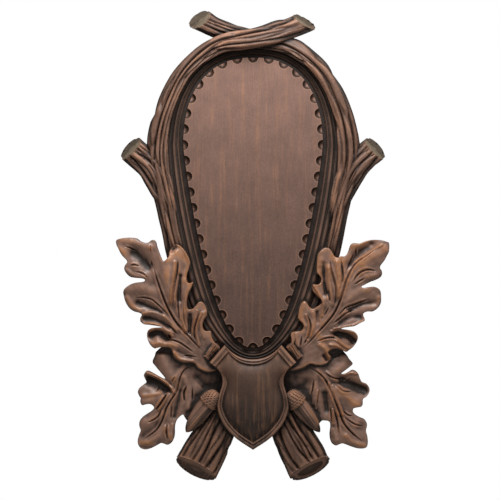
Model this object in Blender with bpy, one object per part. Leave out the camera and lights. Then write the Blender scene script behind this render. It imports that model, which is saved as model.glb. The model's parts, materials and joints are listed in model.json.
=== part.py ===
"""Carved wooden wall plaque for antlers: one solid of wood, with an egg-shaped panel and a scalloped edge.

Two branches frame the panel and cross at its crown. Their sawn butts cross behind a small shield at the
foot, with a spray of two oak leaves and an acorn on each side.

Everything is in metres. X runs to the right, Z up, and the flat back lies on the wall plane Y = 0 with the
carving towards -Y. "Relief" below is the distance in front of that wall plane.
"""

import math
from collections import namedtuple

import bmesh
import bpy
import numpy as np

# Panel: an egg, wide at the crown and drawn in towards the foot
PANEL_WIDTH = 0.163
PANEL_LEVEL = 0.1165  # height of its widest level above the origin
PANEL_CROWN = 0.1025  # from the widest level up to the crown
PANEL_DROP = 0.2365  # from the widest level down to the foot
CROWN_FULLNESS = 2.3
FOOT_BEND = 1.15
FOOT_FULLNESS = 0.47
PANEL_RELIEF = 0.021
SCALLOP_PITCH = 0.0187
SCALLOP_WIDTH = 0.0135
SCALLOP_DEPTH = 0.0068
SCALLOP_POINTS = 4

# Moulded ring round the panel, and the board behind everything
RING_WIDTH = 0.0125
RING_SPREAD = 0.008  # how much wider it gets at the flanks than at the crown and the foot
RING_FLOOR = 0.0135
RING_BEAD = 0.0175
BOARD_BACK_CHAMFER = 0.003
BOARD_LAP = 0.0110  # how far the board runs on under the branches
RING_POINTS = 56

# Branches round the ring
BRANCH_WIDTH = 0.0205
BRANCH_END_WIDTH = 0.0265
BRANCH_SWELL = 0.0060  # extra width beside a stub, on the outer side
BRANCH_SWELL_SPAN = 0.045  # how far up and down it fades out
BRANCH_FRONT = 0.0105  # how far it stands out in front of its middle line
BRANCH_BACK = 0.0135
BRANCH_RELIEF = 0.0225  # of the branch's middle line
BRANCH_FOOT_RELIEF = 0.014  # where it dips under the leaves
BRANCH_FOOT_LEVEL = -0.116
BRANCH_STATIONS = 24
CROSSING_LIFT = 0.008  # how far the upper branch rises and the lower one sinks at the crossing
CROSSING_REACH = 0.0605  # from the crown's middle to a cut end, across
CROSSING_CLIMB = 0.0185  # and up
CUT_SLANT = 0.52  # forward tilt of the sawn ends, as a slope
BARK_DEPTH = 0.13  # depth of the bark grooves, as a share of the branch

# Side stubs, where a twig was cut off each branch
STUB_REACH = 0.0435  # from the ring's edge to the cut end, across
STUB_END_LEVEL = 0.1125
STUB_FOOT_LEVEL = 0.020
STUB_WIDTH = 0.0325
STUB_FRONT = 0.0105
STUB_BACK = 0.0135

# Sawn butts that cross behind the shield
LOG_TOP = (0.0275, -0.178)  # off the middle, and its level
LOG_END = (0.0663, -0.2597)
LOG_NECK_WIDTH = 0.040
LOG_END_WIDTH = 0.0525
LOG_FRONT = 0.012
LOG_DEPTH = 0.0225
LOG_BACK = 0.001  # its underside's distance from the wall
LOG_STATIONS = 7

# Shield over the crossing
SHIELD_WIDTH = 0.100  # across its upper corners
SHIELD_HEIGHT = 0.105  # from the hollow of its top edge to its point
SHIELD_FRONT = 0.046
SHIELD_BACK = 0.012
SHIELD_RIM = 0.0045
SHIELD_RIM_STEP = 0.002
SHIELD_TOP_GAP = 0.0005  # between the ring and the hollow top edge

# Core behind the shield, which ties the leaves, the butts and the board together
CORE_WIDTH = 0.150
CORE_HEIGHT = 0.106
CORE_RELIEF = 0.0130
CORE_RISE = 0.005  # how far its top lies above the shield's ears
CORE_BACK = 0.0015

# Cut ends of the two leaf sprays, beside the shield's ears
TWIG_FOOT = (0.056, -0.138)
TWIG_END = (0.041, -0.116)
TWIG_WIDTH = 0.013
TWIG_RELIEF = 0.027

# Acorns
ACORN_CAP_RADIUS = 0.0132
ACORN_CAP_LENGTH = 0.017
ACORN_NUT_RADIUS = 0.0110
ACORN_NUT_LENGTH = 0.034
ACORN_PLACE = (-0.0525, -0.187)  # where the nut leaves its cap
ACORN_RELIEF = 0.0325
ACORN_HEADING = math.radians(240)
ACORN_SIDES = 10

# Leaves: one spray of two leaves on each side
UPPER_LEAF_BACK = 0.010  # relief of its flat underside
LOWER_LEAF_BACK = 0.0082
LEAF_ROUND = 0.0030  # rounding of the upper margin
LEAF_CELL = 0.0054
UPPER_LEAF_REACH = 0.1725
LOWER_LEAF_REACH = 0.1247
LEAF_STEM = (0.0555, -0.1363)  # where each spray springs from, off the middle
LEAF_STALK = (0.030, -0.156)  # where its stalk ends under the shield
LEAF_STALK_BREADTH = 0.014
LOBE_NECK = 0.8
LOBE_POINT = 0.2
BLADE_TIP = 0.8  # the blade's half breadth near its tip, as a share of its middle
BLADE_POINT = 0.60
VEIN_PULL = 0.45  # how far a side vein follows the midrib before it turns out
VEIN_STEPS = 10

# A lobe is in shares of its leaf's reach: where its vein leaves the midrib, then how far out and up its tip
# lies from the stem, and its half breadth. Its tip's relief and how far its margins rise are in metres.
Lobe = namedtuple("Lobe", "root out up breadth relief cup")
Leaf = namedtuple("Leaf", "reach midrib blade stem_relief tip_relief lobes")

LEFT_UPPER = Leaf(
    UPPER_LEAF_REACH,
    ((0, 0), (0.22, 0.23), (0.38, 0.76), (0.60, 0.825)),
    0.100,
    0.034,
    0.030,
    (
        Lobe(0.66, 0.57, 0.74, 0.052, 0.027, 0.002),
        Lobe(0.58, 0.54, 0.62, 0.052, 0.028, 0.003),
        Lobe(0.36, 0.565, 0.445, 0.096, 0.024, 0.004),
        Lobe(0.22, 0.445, 0.275, 0.050, 0.026, 0.003),
        Lobe(0.12, 0.40, 0.165, 0.076, 0.031, 0.008),
        Lobe(0.05, 0.24, 0.04, 0.060, 0.038, 0.003),
        Lobe(0.72, 0.48, 0.82, 0.045, 0.029, 0.002),
        Lobe(0.64, 0.35, 0.835, 0.038, 0.030, 0.003),
        Lobe(0.40, 0.19, 0.79, 0.070, 0.035, 0.005),
        Lobe(0.34, 0.13, 0.615, 0.052, 0.032, 0.002),
        Lobe(0.25, 0.09, 0.54, 0.056, 0.034, 0.002),
        Lobe(0.10, 0.02, 0.41, 0.070, 0.031, 0.003),
        Lobe(0.03, -0.06, 0.22, 0.062, 0.030, 0.002),
    ),
)
RIGHT_UPPER = Leaf(
    UPPER_LEAF_REACH,
    ((0, 0), (0.34, 0.34), (0.26, 0.68), (0.605, 0.815)),
    0.108,
    0.034,
    0.030,
    (
        Lobe(0.64, 0.56, 0.735, 0.056, 0.026, 0.001),
        Lobe(0.55, 0.555, 0.60, 0.054, 0.028, 0.003),
        Lobe(0.33, 0.555, 0.425, 0.092, 0.025, 0.004),
        Lobe(0.22, 0.44, 0.28, 0.054, 0.026, 0.003),
        Lobe(0.10, 0.39, 0.16, 0.078, 0.032, 0.008),
        Lobe(0.04, 0.24, 0.04, 0.060, 0.038, 0.003),
        Lobe(0.70, 0.48, 0.82, 0.045, 0.029, 0.002),
        Lobe(0.62, 0.355, 0.815, 0.044, 0.030, 0.003),
        Lobe(0.50, 0.28, 0.73, 0.040, 0.032, 0.002),
        Lobe(0.35, 0.24, 0.72, 0.054, 0.035, 0.003),
        Lobe(0.30, 0.18, 0.78, 0.060, 0.034, 0.003),
        Lobe(0.28, 0.14, 0.625, 0.052, 0.032, 0.002),
        Lobe(0.25, 0.09, 0.54, 0.052, 0.034, 0.002),
        Lobe(0.12, 0.02, 0.41, 0.066, 0.031, 0.003),
        Lobe(0.04, -0.06, 0.22, 0.062, 0.030, 0.002),
    ),
)
LEFT_LOWER = Leaf(
    LOWER_LEAF_REACH,
    ((0, 0), (0.30, -0.06), (0.30, -0.54), (0.625, -0.815)),
    0.140,
    0.027,
    0.024,
    (
        Lobe(0.02, -0.07, -0.27, 0.130, 0.021, 0.001),
        Lobe(0.10, 0.49, 0.01, 0.125, 0.022, 0.002),
        Lobe(0.30, 0.565, -0.085, 0.052, 0.030, 0.002),
        Lobe(0.35, 0.625, -0.27, 0.110, 0.025, 0.008),
        Lobe(0.45, 0.61, -0.38, 0.062, 0.027, 0.003),
        Lobe(0.65, 0.62, -0.575, 0.098, 0.022, 0.003),
        Lobe(0.70, 0.33, -0.775, 0.085, 0.024, 0.003),
        Lobe(0.30, 0.06, -0.68, 0.100, 0.022, 0.003),
        Lobe(0.12, -0.04, -0.50, 0.150, 0.020, 0.002),
    ),
)
RIGHT_LOWER = Leaf(
    LOWER_LEAF_REACH,
    ((0, 0), (0.33, -0.06), (0.32, -0.52), (0.635, -0.81)),
    0.140,
    0.027,
    0.024,
    (
        Lobe(0.02, -0.07, -0.27, 0.130, 0.021, 0.001),
        Lobe(0.12, 0.48, 0.005, 0.118, 0.022, 0.002),
        Lobe(0.25, 0.53, -0.07, 0.056, 0.029, 0.002),
        Lobe(0.32, 0.66, -0.25, 0.110, 0.022, 0.007),
        Lobe(0.42, 0.60, -0.40, 0.062, 0.027, 0.003),
        Lobe(0.60, 0.64, -0.57, 0.088, 0.023, 0.003),
        Lobe(0.62, 0.33, -0.79, 0.088, 0.023, 0.003),
        Lobe(0.30, 0.07, -0.69, 0.096, 0.022, 0.003),
        Lobe(0.12, -0.04, -0.50, 0.150, 0.020, 0.002),
    ),
)
SIDES = (("left", -1, LEFT_UPPER, LEFT_LOWER), ("right", 1, RIGHT_UPPER, RIGHT_LOWER))

SEAM_MERGE = 0.00002  # corners closer than this where forms meet become one

WOOD_COLOUR = (0.105, 0.052, 0.033, 1)
WOOD_ROUGHNESS = 0.5


def clear_scene():
    for thing in list(bpy.data.objects):
        bpy.data.objects.remove(thing)


def smooth_step(share):
    share = np.clip(share, 0, 1)
    return share * share * (3 - 2 * share)


def evenly(points, count, closed=False):
    """The polyline's points again, at even distances along it."""
    points = np.asarray(points, float)
    if closed:
        points = np.vstack([points, points[:1]])
    along = np.concatenate([[0], np.cumsum(np.linalg.norm(np.diff(points, axis=0), axis=1))])
    at = np.linspace(0, along[-1], count + 1)[:-1] if closed else np.linspace(0, along[-1], count)
    return np.stack([np.interp(at, along, column) for column in points.T], axis=1)


def curve_through(points, count, fine=24):
    """A smooth curve through a few points (Catmull-Rom), as evenly spaced points."""
    points = np.asarray(points, float)
    padded = np.vstack([2 * points[0] - points[1], points, 2 * points[-1] - points[-2]])
    share = np.linspace(0, 1, fine, endpoint=False)[:, None]
    spans = []
    for before, start, end, after in zip(padded, padded[1:], padded[2:], padded[3:]):
        spans.append(
            0.5
            * (
                2 * start
                + (end - before) * share
                + (2 * before - 5 * start + 4 * end - after) * share**2
                + (3 * start - before - 3 * end + after) * share**3
            )
        )
    return evenly(np.vstack(spans + [points[-1:]]), count)


def bezier(handles, count):
    """Points along a Bezier curve of any number of handles."""
    handles = np.asarray(handles, float)
    share = np.linspace(0, 1, count)[:, None]
    last = len(handles) - 1
    return sum(
        math.comb(last, i) * share**i * (1 - share) ** (last - i) * handle
        for i, handle in enumerate(handles)
    )


def outward_normals(outline):
    """Unit normals of a closed clockwise outline, pointing out of it."""
    along = np.roll(outline, -1, axis=0) - np.roll(outline, 1, axis=0)
    along /= np.linalg.norm(along, axis=1)[:, None]
    return np.stack([-along[:, 1], along[:, 0]], axis=1)


def egg(count, offset=0.0, spread=0.0):
    """The panel's outline, clockwise from its crown, moved outwards by an offset (one value or one a point).

    A spread adds that share of the ring's extra width at the flanks.
    """
    turn = np.linspace(0, math.pi / 2, 200)
    power = 2 / CROWN_FULLNESS
    crown = np.stack([np.sin(turn) ** power, PANEL_CROWN * np.cos(turn) ** power], axis=1)
    drop = 1 - (1 - np.linspace(0, 1, 400)) ** 2
    foot = np.stack([(1 - drop**FOOT_BEND) ** FOOT_FULLNESS, -PANEL_DROP * drop], axis=1)
    half = np.vstack([crown, foot[1:]])
    half[:, 0] *= PANEL_WIDTH / 2
    other = half[-2:0:-1] * (-1, 1)
    outline = evenly(np.vstack([half, other]) + (0, PANEL_LEVEL), count, closed=True)
    from_crown = (PANEL_LEVEL + PANEL_CROWN - outline[:, 1]) / (PANEL_CROWN + PANEL_DROP)
    flank = smooth_step((from_crown - 0.04) / 0.46) * smooth_step((1.02 - from_crown) / 0.18)
    move = offset + spread * RING_SPREAD * flank
    return outline + outward_normals(outline) * move[:, None]


def add_object(name, shape):
    mesh = bpy.data.meshes.new(name)
    shape.to_mesh(mesh)
    shape.free()
    solid = bpy.data.objects.new(name, mesh)
    bpy.context.scene.collection.objects.link(solid)
    return solid


def add_solid(name, points, faces):
    """An object from points given as (x, z, relief), with its faces turned outwards."""
    shape = bmesh.new()
    corners = [shape.verts.new((x, -relief, z)) for x, z, relief in points]
    for face in faces:
        shape.faces.new([corners[i] for i in face])
    bmesh.ops.recalc_face_normals(shape, faces=shape.faces)
    return add_object(name, shape)


def loft(name, rings):
    """A closed solid through rings of as many points each, with both end rings filled."""
    count = len(rings[0])
    faces = [tuple(range(count)), tuple(range(len(rings) * count - count, len(rings) * count))]
    for step in range(len(rings) - 1):
        low, high = step * count, (step + 1) * count
        for i in range(count):
            j = (i + 1) % count
            faces.append((low + i, low + j, high + j, high + i))
    return add_solid(name, np.vstack(rings), faces)


def level_ring(outline, relief):
    return np.column_stack([outline, np.broadcast_to(relief, len(outline))])


def make_board():
    """The board behind everything, with the moulded ring round the panel's foot."""
    edge = RING_WIDTH + BOARD_LAP
    steps = (
        (edge - BOARD_BACK_CHAMFER, 1, 0),
        (edge, 1, BOARD_BACK_CHAMFER),
        (edge, 1, RING_FLOOR),
        (RING_WIDTH, 1, RING_BEAD + 0.001),
        (RING_WIDTH * 0.60, 0.3, RING_BEAD - 0.0005),
        (RING_WIDTH * 0.40, 0.1, RING_FLOOR),
        (-SCALLOP_DEPTH, 0, RING_FLOOR),
    )
    rings = [level_ring(egg(RING_POINTS, offset, spread), relief) for offset, spread, relief in steps]
    return loft("board", rings)


def scalloped_offsets():
    """How far the panel's top edge is cut back at each point round it."""
    around = egg(2000)
    length = np.linalg.norm(around - np.roll(around, 1, axis=0), axis=1).sum()
    scallops = round(length / SCALLOP_PITCH)
    half = SCALLOP_WIDTH / (length / scallops) / 2
    at = (np.arange(scallops * SCALLOP_POINTS) / SCALLOP_POINTS + 0.5) % 1
    across = np.clip(np.abs(at - 0.5) / half, 0, 1)
    return -SCALLOP_DEPTH * np.sqrt(1 - across**2)


def make_panel():
    """The raised egg-shaped panel. Gouge cuts slope from its top edge down to the ring."""
    cuts = scalloped_offsets()
    foot = egg(len(cuts), 0.0)
    top = egg(len(cuts), cuts)
    return loft(
        "panel",
        [
            level_ring(foot, RING_FLOOR - 0.002),
            level_ring(top, PANEL_RELIEF),
        ],
    )


def branch_section(half_width, half_height, depth, flutes):
    """A branch's cross-section as (side, front) pairs, with bark grooves over its front."""
    points = flutes * 2 + 1
    section = []
    for i in range(points):
        turn = math.pi * i / (points - 1)
        size = 1 - BARK_DEPTH * (i % 2)
        section.append((half_width * size * math.cos(turn), half_height * size * math.sin(turn)))
    for turn in (0.29, 0.5, 0.71):
        section.append((-half_width * math.cos(math.pi * turn), -depth * math.sin(math.pi * turn)))
    return np.array(section)


def sweep(name, path, half_widths, half_heights, depths, flutes=4):
    """A fluted solid along a path of (x, z, relief), with a slanted saw cut at its end."""
    path = np.asarray(path, float)
    count = len(path)
    along = np.gradient(path, axis=0)
    along /= np.linalg.norm(along, axis=1)[:, None]
    side = np.cross(along, (0, 0, 1))
    side /= np.linalg.norm(side, axis=1)[:, None]
    front = np.cross(side, along)
    rings = []
    for i in range(count):
        section = branch_section(half_widths[i], half_heights[i], depths[i], flutes)
        slant = CUT_SLANT if i == count - 1 else 0
        rings.append(path[i] + section[:, :1] * side[i] + section[:, 1:] * (front[i] - slant * along[i]))
    return loft(name, rings)


def beside_stub(level):
    """How strongly a branch swells at each level, from 0 to 1."""
    return np.exp(-(((level - STUB_END_LEVEL) / BRANCH_SWELL_SPAN) ** 2))


def branch_path(hand, lift):
    """The middle line of a branch, from under the leaves up round the panel and past the crown."""
    count = 240
    outline = egg(count, RING_WIDTH + BRANCH_WIDTH * 0.5, 1)
    rising = outline[count // 2 :] if hand < 0 else outline[count // 2 : 0 : -1]
    rising = rising[rising[:, 1] > BRANCH_FOOT_LEVEL]
    crown = PANEL_LEVEL + PANEL_CROWN + RING_WIDTH + BRANCH_WIDTH * 0.5
    bend = np.array([[-hand * 0.002, crown]])
    end = np.array([[-hand * CROSSING_REACH, crown + CROSSING_CLIMB]])
    clear = rising[np.abs(rising[:, 0]) > PANEL_WIDTH * 0.22]
    line = curve_through(np.vstack([evenly(clear, 9), bend, end]), BRANCH_STATIONS)
    level = line[:, 1]
    line[:, 0] += hand * BRANCH_SWELL / 2 * beside_stub(level)
    foot = smooth_step((level - BRANCH_FOOT_LEVEL) / 0.085)
    relief = BRANCH_FOOT_RELIEF + (BRANCH_RELIEF - BRANCH_FOOT_RELIEF) * foot
    near_crossing = smooth_step(1 - np.abs(line[:, 0] * -hand - 0.010) / 0.075)
    relief = relief + lift * np.where(level > PANEL_LEVEL, near_crossing, 0)
    return np.column_stack([line, relief])


def make_branch(side_name, hand, lift):
    path = branch_path(hand, lift)
    ends = smooth_step(np.linspace(-2.0, 1, len(path)))
    half_width = (BRANCH_WIDTH + (BRANCH_END_WIDTH - BRANCH_WIDTH) * ends) / 2
    half_width = half_width + BRANCH_SWELL / 2 * beside_stub(path[:, 1])
    half_height = np.full(len(path), BRANCH_FRONT)
    depth = np.full(len(path), BRANCH_BACK)
    return sweep("branch_" + side_name, path, half_width, half_height, depth)


def make_stub(side_name, hand):
    """A cut-off twig that grows out of the branch's outer side and turns outwards."""
    outline = egg(400, RING_WIDTH, 1)
    outline = outline[outline[:, 0] * hand > 0]
    line = []
    for share, off in ((0, 0.17), (0.26, 0.19), (0.45, 0.25), (0.63, 0.36), (0.80, 0.56), (1, 1)):
        level = STUB_FOOT_LEVEL + (STUB_END_LEVEL - STUB_FOOT_LEVEL) * share
        near = outline[np.argmin(np.abs(outline[:, 1] - level))]
        line.append((near[0] + hand * off * STUB_REACH, level))
    line = curve_through(line, 8)
    share = smooth_step(np.linspace(0, 1.5, len(line)))
    half_width = STUB_WIDTH / 2 * (0.5 + 0.5 * share)
    half_height = STUB_FRONT * (0.75 + 0.25 * share)
    relief = np.linspace(BRANCH_RELIEF - 0.004, BRANCH_RELIEF, len(line))
    path = np.column_stack([line, relief])
    return sweep("stub_" + side_name, path, half_width, half_height, np.full(len(line), STUB_BACK))


def make_log(side_name, hand):
    """A branch's sawn butt: it leaves the crossing behind the shield and flares to its cut."""
    top = np.array([LOG_TOP[0] * hand, LOG_TOP[1]])
    end = np.array([LOG_END[0] * hand, LOG_END[1]])
    middle = (top + end) / 2 - (hand * 0.002, 0)
    line = curve_through([top, middle, end], LOG_STATIONS)
    share = smooth_step(np.linspace(0, 1, LOG_STATIONS))
    half_width = (LOG_NECK_WIDTH + (LOG_END_WIDTH - LOG_NECK_WIDTH) * share) / 2
    half_height = np.full(LOG_STATIONS, LOG_FRONT)
    depth = np.full(LOG_STATIONS, LOG_DEPTH)
    path = np.column_stack([line, LOG_BACK + depth])
    return sweep("log_" + side_name, path, half_width, half_height, depth, flutes=8)


def make_twig(side_name, hand):
    line = np.linspace((TWIG_FOOT[0] * hand, TWIG_FOOT[1]), (TWIG_END[0] * hand, TWIG_END[1]), 3)
    path = np.column_stack([line, np.full(3, TWIG_RELIEF)])
    half = np.full(3, TWIG_WIDTH / 2)
    return sweep("twig_" + side_name, path, half, half, np.full(3, TWIG_RELIEF - RING_FLOOR))


def shield_outline():
    """The shield's outline, clockwise from the hollow of its top edge."""
    foot = egg(720)[:, 1].min() - RING_WIDTH - SHIELD_TOP_GAP
    across, down = SHIELD_WIDTH / 2, SHIELD_HEIGHT
    ear = (0.66 * across, 0.16 * down)
    corner = (across, -0.03 * down)
    hollow = bezier([(0, 0), (0.40 * across, 0.0), ear], 6)
    flank = curve_through(
        [
            corner,
            (0.77 * across, -0.14 * down),
            (0.71 * across, -0.26 * down),
            (0.80 * across, -0.42 * down),
            (0.82 * across, -0.56 * down),
            (0.68 * across, -0.72 * down),
            (0.40 * across, -0.87 * down),
            (0, -down),
        ],
        13,
    )
    half = np.vstack([hollow, flank])
    return np.vstack([half, half[-2:0:-1] * (-1, 1)]) + (0, foot)


def drawn_in(outline, inset):
    """The shield's outline drawn in towards its middle by an inset at the waist."""
    middle = np.array([0, outline[:, 1].max() * 0.5 + outline[:, 1].min() * 0.5])
    return middle + (outline - middle) * (1 - inset / (SHIELD_WIDTH * 0.36))


def make_shield():
    outline = shield_outline()
    rings = [
        level_ring(drawn_in(outline, 0.003), SHIELD_BACK),
        level_ring(outline, SHIELD_FRONT - 0.010),
        level_ring(outline, SHIELD_FRONT - 0.0015),
        level_ring(drawn_in(outline, 0.0012), SHIELD_FRONT),
        level_ring(drawn_in(outline, SHIELD_RIM * 0.85), SHIELD_FRONT),
        level_ring(drawn_in(outline, SHIELD_RIM * 1.15), SHIELD_FRONT - SHIELD_RIM_STEP),
    ]
    return loft("shield", rings)


def make_core():
    """The block behind the shield. Its front is rounded like the leaves that spring from it."""
    turn = np.linspace(0, 2 * math.pi, 24, endpoint=False)
    middle = np.array([0, shield_outline()[:, 1].max() + CORE_RISE - CORE_HEIGHT / 2])
    circle = np.stack([np.sin(turn), np.cos(turn)], axis=1)
    oval = np.sign(circle) * np.abs(circle) ** 0.6 * (CORE_WIDTH / 2, CORE_HEIGHT / 2)
    return loft(
        "core",
        [
            level_ring(middle + oval * 0.94, CORE_BACK),
            level_ring(middle + oval, CORE_BACK + 0.003),
            level_ring(middle + oval, CORE_RELIEF - 0.005),
            level_ring(middle + oval * 0.88, CORE_RELIEF),
        ],
    )


def make_acorn(side_name, hand):
    """An acorn in its cup, turned about its own axis and half sunk in the leaf."""
    heading = ACORN_HEADING if hand < 0 else math.pi - ACORN_HEADING
    along = np.array([math.cos(heading), math.sin(heading), -0.10])
    along /= np.linalg.norm(along)
    side = np.cross(along, (0, 0, 1))
    side /= np.linalg.norm(side)
    front = np.cross(side, along)
    place = np.array([ACORN_PLACE[0] * -hand, ACORN_PLACE[1], ACORN_RELIEF])
    nut, cap = ACORN_NUT_LENGTH, ACORN_CAP_LENGTH
    profile = [(nut, 0.0008)]
    profile += [
        (nut * math.cos(turn), ACORN_NUT_RADIUS * math.sin(turn) ** 0.8)
        for turn in (0.35, 0.7, 1.1)
    ]
    profile += [(0.001, ACORN_NUT_RADIUS), (0.0006, ACORN_CAP_RADIUS * 0.97)]
    profile += [
        (-cap * math.sin(turn), ACORN_CAP_RADIUS * math.cos(turn) ** 0.7)
        for turn in (0.1, 0.7, 1.25)
    ]
    rings = []
    for reach, radius in profile:
        turn = np.linspace(0, 2 * math.pi, ACORN_SIDES, endpoint=False)[:, None]
        rings.append(place + along * reach + radius * (np.cos(turn) * side + np.sin(turn) * front))
    return loft("acorn_" + side_name, rings)


def nearest_on(line, x, z):
    """Distance from each place to a polyline, and the share of its length at the nearest point."""
    lengths = np.linalg.norm(np.diff(line, axis=0), axis=1)
    total = lengths.sum()
    best = np.full(np.shape(x), np.inf)
    share = np.zeros(np.shape(x))
    passed = 0.0
    for start, end, length in zip(line, line[1:], lengths):
        step = (end - start) / length
        run = np.clip((x - start[0]) * step[0] + (z - start[1]) * step[1], 0, length)
        away = np.hypot(x - start[0] - run * step[0], z - start[1] - run * step[1])
        nearer = away < best
        best = np.where(nearer, away, best)
        share = np.where(nearer, (passed + run) / total, share)
        passed += length
    return best, share


class LeafShape:
    """One oak leaf: its veins, its outline as a signed distance and its surface as a relief."""

    def __init__(self, leaf, hand):
        self.stem = np.array([LEAF_STEM[0] * hand, LEAF_STEM[1]])
        self.scale = np.array([leaf.reach * hand, leaf.reach])
        self.leaf = leaf
        midrib = self.place(bezier(leaf.midrib, 24))
        blade = leaf.blade * leaf.reach
        lengths = np.concatenate([[0], np.cumsum(np.linalg.norm(np.diff(midrib, axis=0), axis=1))])
        reliefs = (leaf.stem_relief, leaf.tip_relief)
        tip_breadth = blade * BLADE_TIP * (1 - BLADE_POINT)
        inner = midrib[np.linalg.norm(midrib - midrib[-1], axis=1) > tip_breadth * 0.95]
        self.veins = [(inner, blade, *reliefs, 0.002, True)]
        stalk = np.array([self.stem, (LEAF_STALK[0] * hand, LEAF_STALK[1])])
        self.veins.append((stalk, LEAF_STALK_BREADTH, reliefs[0], reliefs[0] - 0.004, 0, False))
        for lobe in leaf.lobes:
            at = lobe.root * lengths[-1]
            root = np.array([np.interp(at, lengths, column) for column in midrib.T])
            ahead = np.array([np.interp(at + 0.004, lengths, column) for column in midrib.T]) - root
            ahead /= np.linalg.norm(ahead)
            tip = self.place(np.array([lobe.out, lobe.up]))
            breadth = lobe.breadth * leaf.reach
            turn = root + ahead * np.linalg.norm(tip - root) * VEIN_PULL
            inwards = (turn - tip) / np.linalg.norm(turn - tip)
            vein = bezier([root, turn, tip + inwards * breadth * (1 - LOBE_POINT)], VEIN_STEPS)
            start_relief = reliefs[0] + (reliefs[1] - reliefs[0]) * lobe.root
            self.veins.append((vein, breadth, start_relief, lobe.relief, lobe.cup, False))

    def place(self, shares):
        return self.stem + shares * self.scale

    def fields(self, x, z):
        """The signed distance to the outline (negative inside) and the relief at each place."""
        merge = 0.0012
        inside, weights, surface = 0, 0, 0
        for line, breadth, start_relief, end_relief, cup, is_midrib in self.veins:
            away, share = nearest_on(line, x, z)
            if is_midrib:
                width = breadth * (0.45 + 0.55 * smooth_step(share / 0.35))
                width = width * (1 - (1 - BLADE_TIP) * smooth_step((share - 0.5) / 0.3))
            else:
                width = breadth * (LOBE_NECK + (1 - LOBE_NECK) * smooth_step(share / 0.65))
            point, start = (BLADE_POINT, 0.86) if is_midrib else (LOBE_POINT, 0.75)
            width = width * (1 - point * smooth_step((share - start) / (1 - start)))
            inside = inside + np.exp(np.clip((width - away) / merge, -60, 60))
            across = np.minimum(away / width, 1.3)
            weight = np.exp(-6 * (away / width) ** 2) + 1e-12
            weights = weights + weight
            rise = start_relief + (end_relief - start_relief) * smooth_step(share)
            surface = surface + weight * (rise + cup * across**2 * smooth_step(share * 2))
        distance = -merge * np.log(inside)
        relief = surface / weights
        edge = np.clip(1 + distance / LEAF_ROUND, 0, 1)
        return distance, relief - LEAF_ROUND * (1 - np.sqrt(1 - edge**2 * 0.98))

    def bounds(self):
        margin = 0.004
        places = np.vstack([line for line, *_ in self.veins])
        most = max(breadth for _, breadth, *_ in self.veins) + margin
        return places.min(axis=0) - most, places.max(axis=0) + most


def kept_cells(shape, low, cell, columns, rows):
    """The grid cells whose middle lies inside the outline, with none that meet only at a corner."""
    x, z = np.meshgrid(
        low[0] + (np.arange(columns) + 0.5) * cell, low[1] + (np.arange(rows) + 0.5) * cell, indexing="ij"
    )
    kept = shape.fields(x, z)[0] < 0
    while True:
        falling = kept[:-1, :-1] & kept[1:, 1:] & ~kept[1:, :-1] & ~kept[:-1, 1:]
        rising = kept[1:, :-1] & kept[:-1, 1:] & ~kept[:-1, :-1] & ~kept[1:, 1:]
        if not (falling.any() or rising.any()):
            return kept
        kept[1:, :-1] |= falling
        kept[:-1, :-1] |= rising


def slide_to_outline(shape, x, z):
    """Moves grid corners on to the outline, down the slope of the signed distance, by less than half a cell."""
    probe = 0.0003
    reach = LEAF_CELL * 0.45
    low_x, high_x, low_z, high_z = x - reach, x + reach, z - reach, z + reach
    for _ in range(4):
        here = shape.fields(x, z)[0]
        slope_x = (shape.fields(x + probe, z)[0] - here) / probe
        slope_z = (shape.fields(x, z + probe)[0] - here) / probe
        steep = np.maximum(slope_x**2 + slope_z**2, 0.2)
        x = np.clip(x - here * slope_x / steep, low_x, high_x)
        z = np.clip(z - here * slope_z / steep, low_z, high_z)
    return x, z


def split_cell(corners, places):
    """A four-cornered cell as two triangles, cut so that neither folds over."""
    a, b, c, d = corners
    turns = []
    for first, second, third in ((a, b, c), (a, c, d), (a, b, d), (b, c, d)):
        one = places[second] - places[first]
        two = places[third] - places[first]
        turns.append(one[0] * two[1] - one[1] * two[0])
    if min(turns[:2]) >= min(turns[2:]):
        return [(a, b, c), (a, c, d)]
    return [(a, b, d), (b, c, d)]


def make_leaf(name, leaf, hand, back):
    """A leaf as a closed solid: a carved face, a margin cut straight down and a flat back."""
    shape = LeafShape(leaf, hand)
    low, high = shape.bounds()
    columns, rows = (np.ceil((high - low) / LEAF_CELL)).astype(int)
    kept = kept_cells(shape, low, LEAF_CELL, columns, rows)
    uses = np.zeros((columns + 1, rows + 1), int)
    for right, up in ((0, 0), (0, 1), (1, 0), (1, 1)):
        uses[right : right + columns, up : up + rows] += kept
    ids = np.full(uses.shape, -1)
    ids[uses > 0] = np.arange((uses > 0).sum())
    i, j = np.nonzero(uses > 0)
    x, z = low[0] + i * LEAF_CELL, low[1] + j * LEAF_CELL
    rim = uses[i, j] < 4
    x[rim], z[rim] = slide_to_outline(shape, x[rim], z[rim])
    front = shape.fields(x, z)[1]
    places = np.column_stack([x, z])
    solid = bmesh.new()
    upper = [solid.verts.new((px, -relief, pz)) for px, pz, relief in zip(x, z, front)]
    lower = [solid.verts.new((px, -back, pz)) for px, pz in places]
    sides = set()
    for a, b in zip(*np.nonzero(kept)):
        quad = (ids[a, b], ids[a + 1, b], ids[a + 1, b + 1], ids[a, b + 1])
        for triangle in split_cell(quad, places):
            solid.faces.new([upper[corner] for corner in triangle])
            solid.faces.new([lower[corner] for corner in reversed(triangle)])
        sides.update(zip(quad, quad[1:] + quad[:1]))
    for start, end in sides:
        if (end, start) not in sides:
            solid.faces.new((upper[end], upper[start], lower[start], lower[end]))
    solid.normal_update()
    flat = {edge for vert in lower for edge in vert.link_edges if edge.other_vert(vert).co.y == vert.co.y}
    bmesh.ops.dissolve_limit(solid, angle_limit=0.001, verts=lower, edges=list(flat))
    bmesh.ops.recalc_face_normals(solid, faces=solid.faces)
    return add_object(name, solid)


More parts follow.
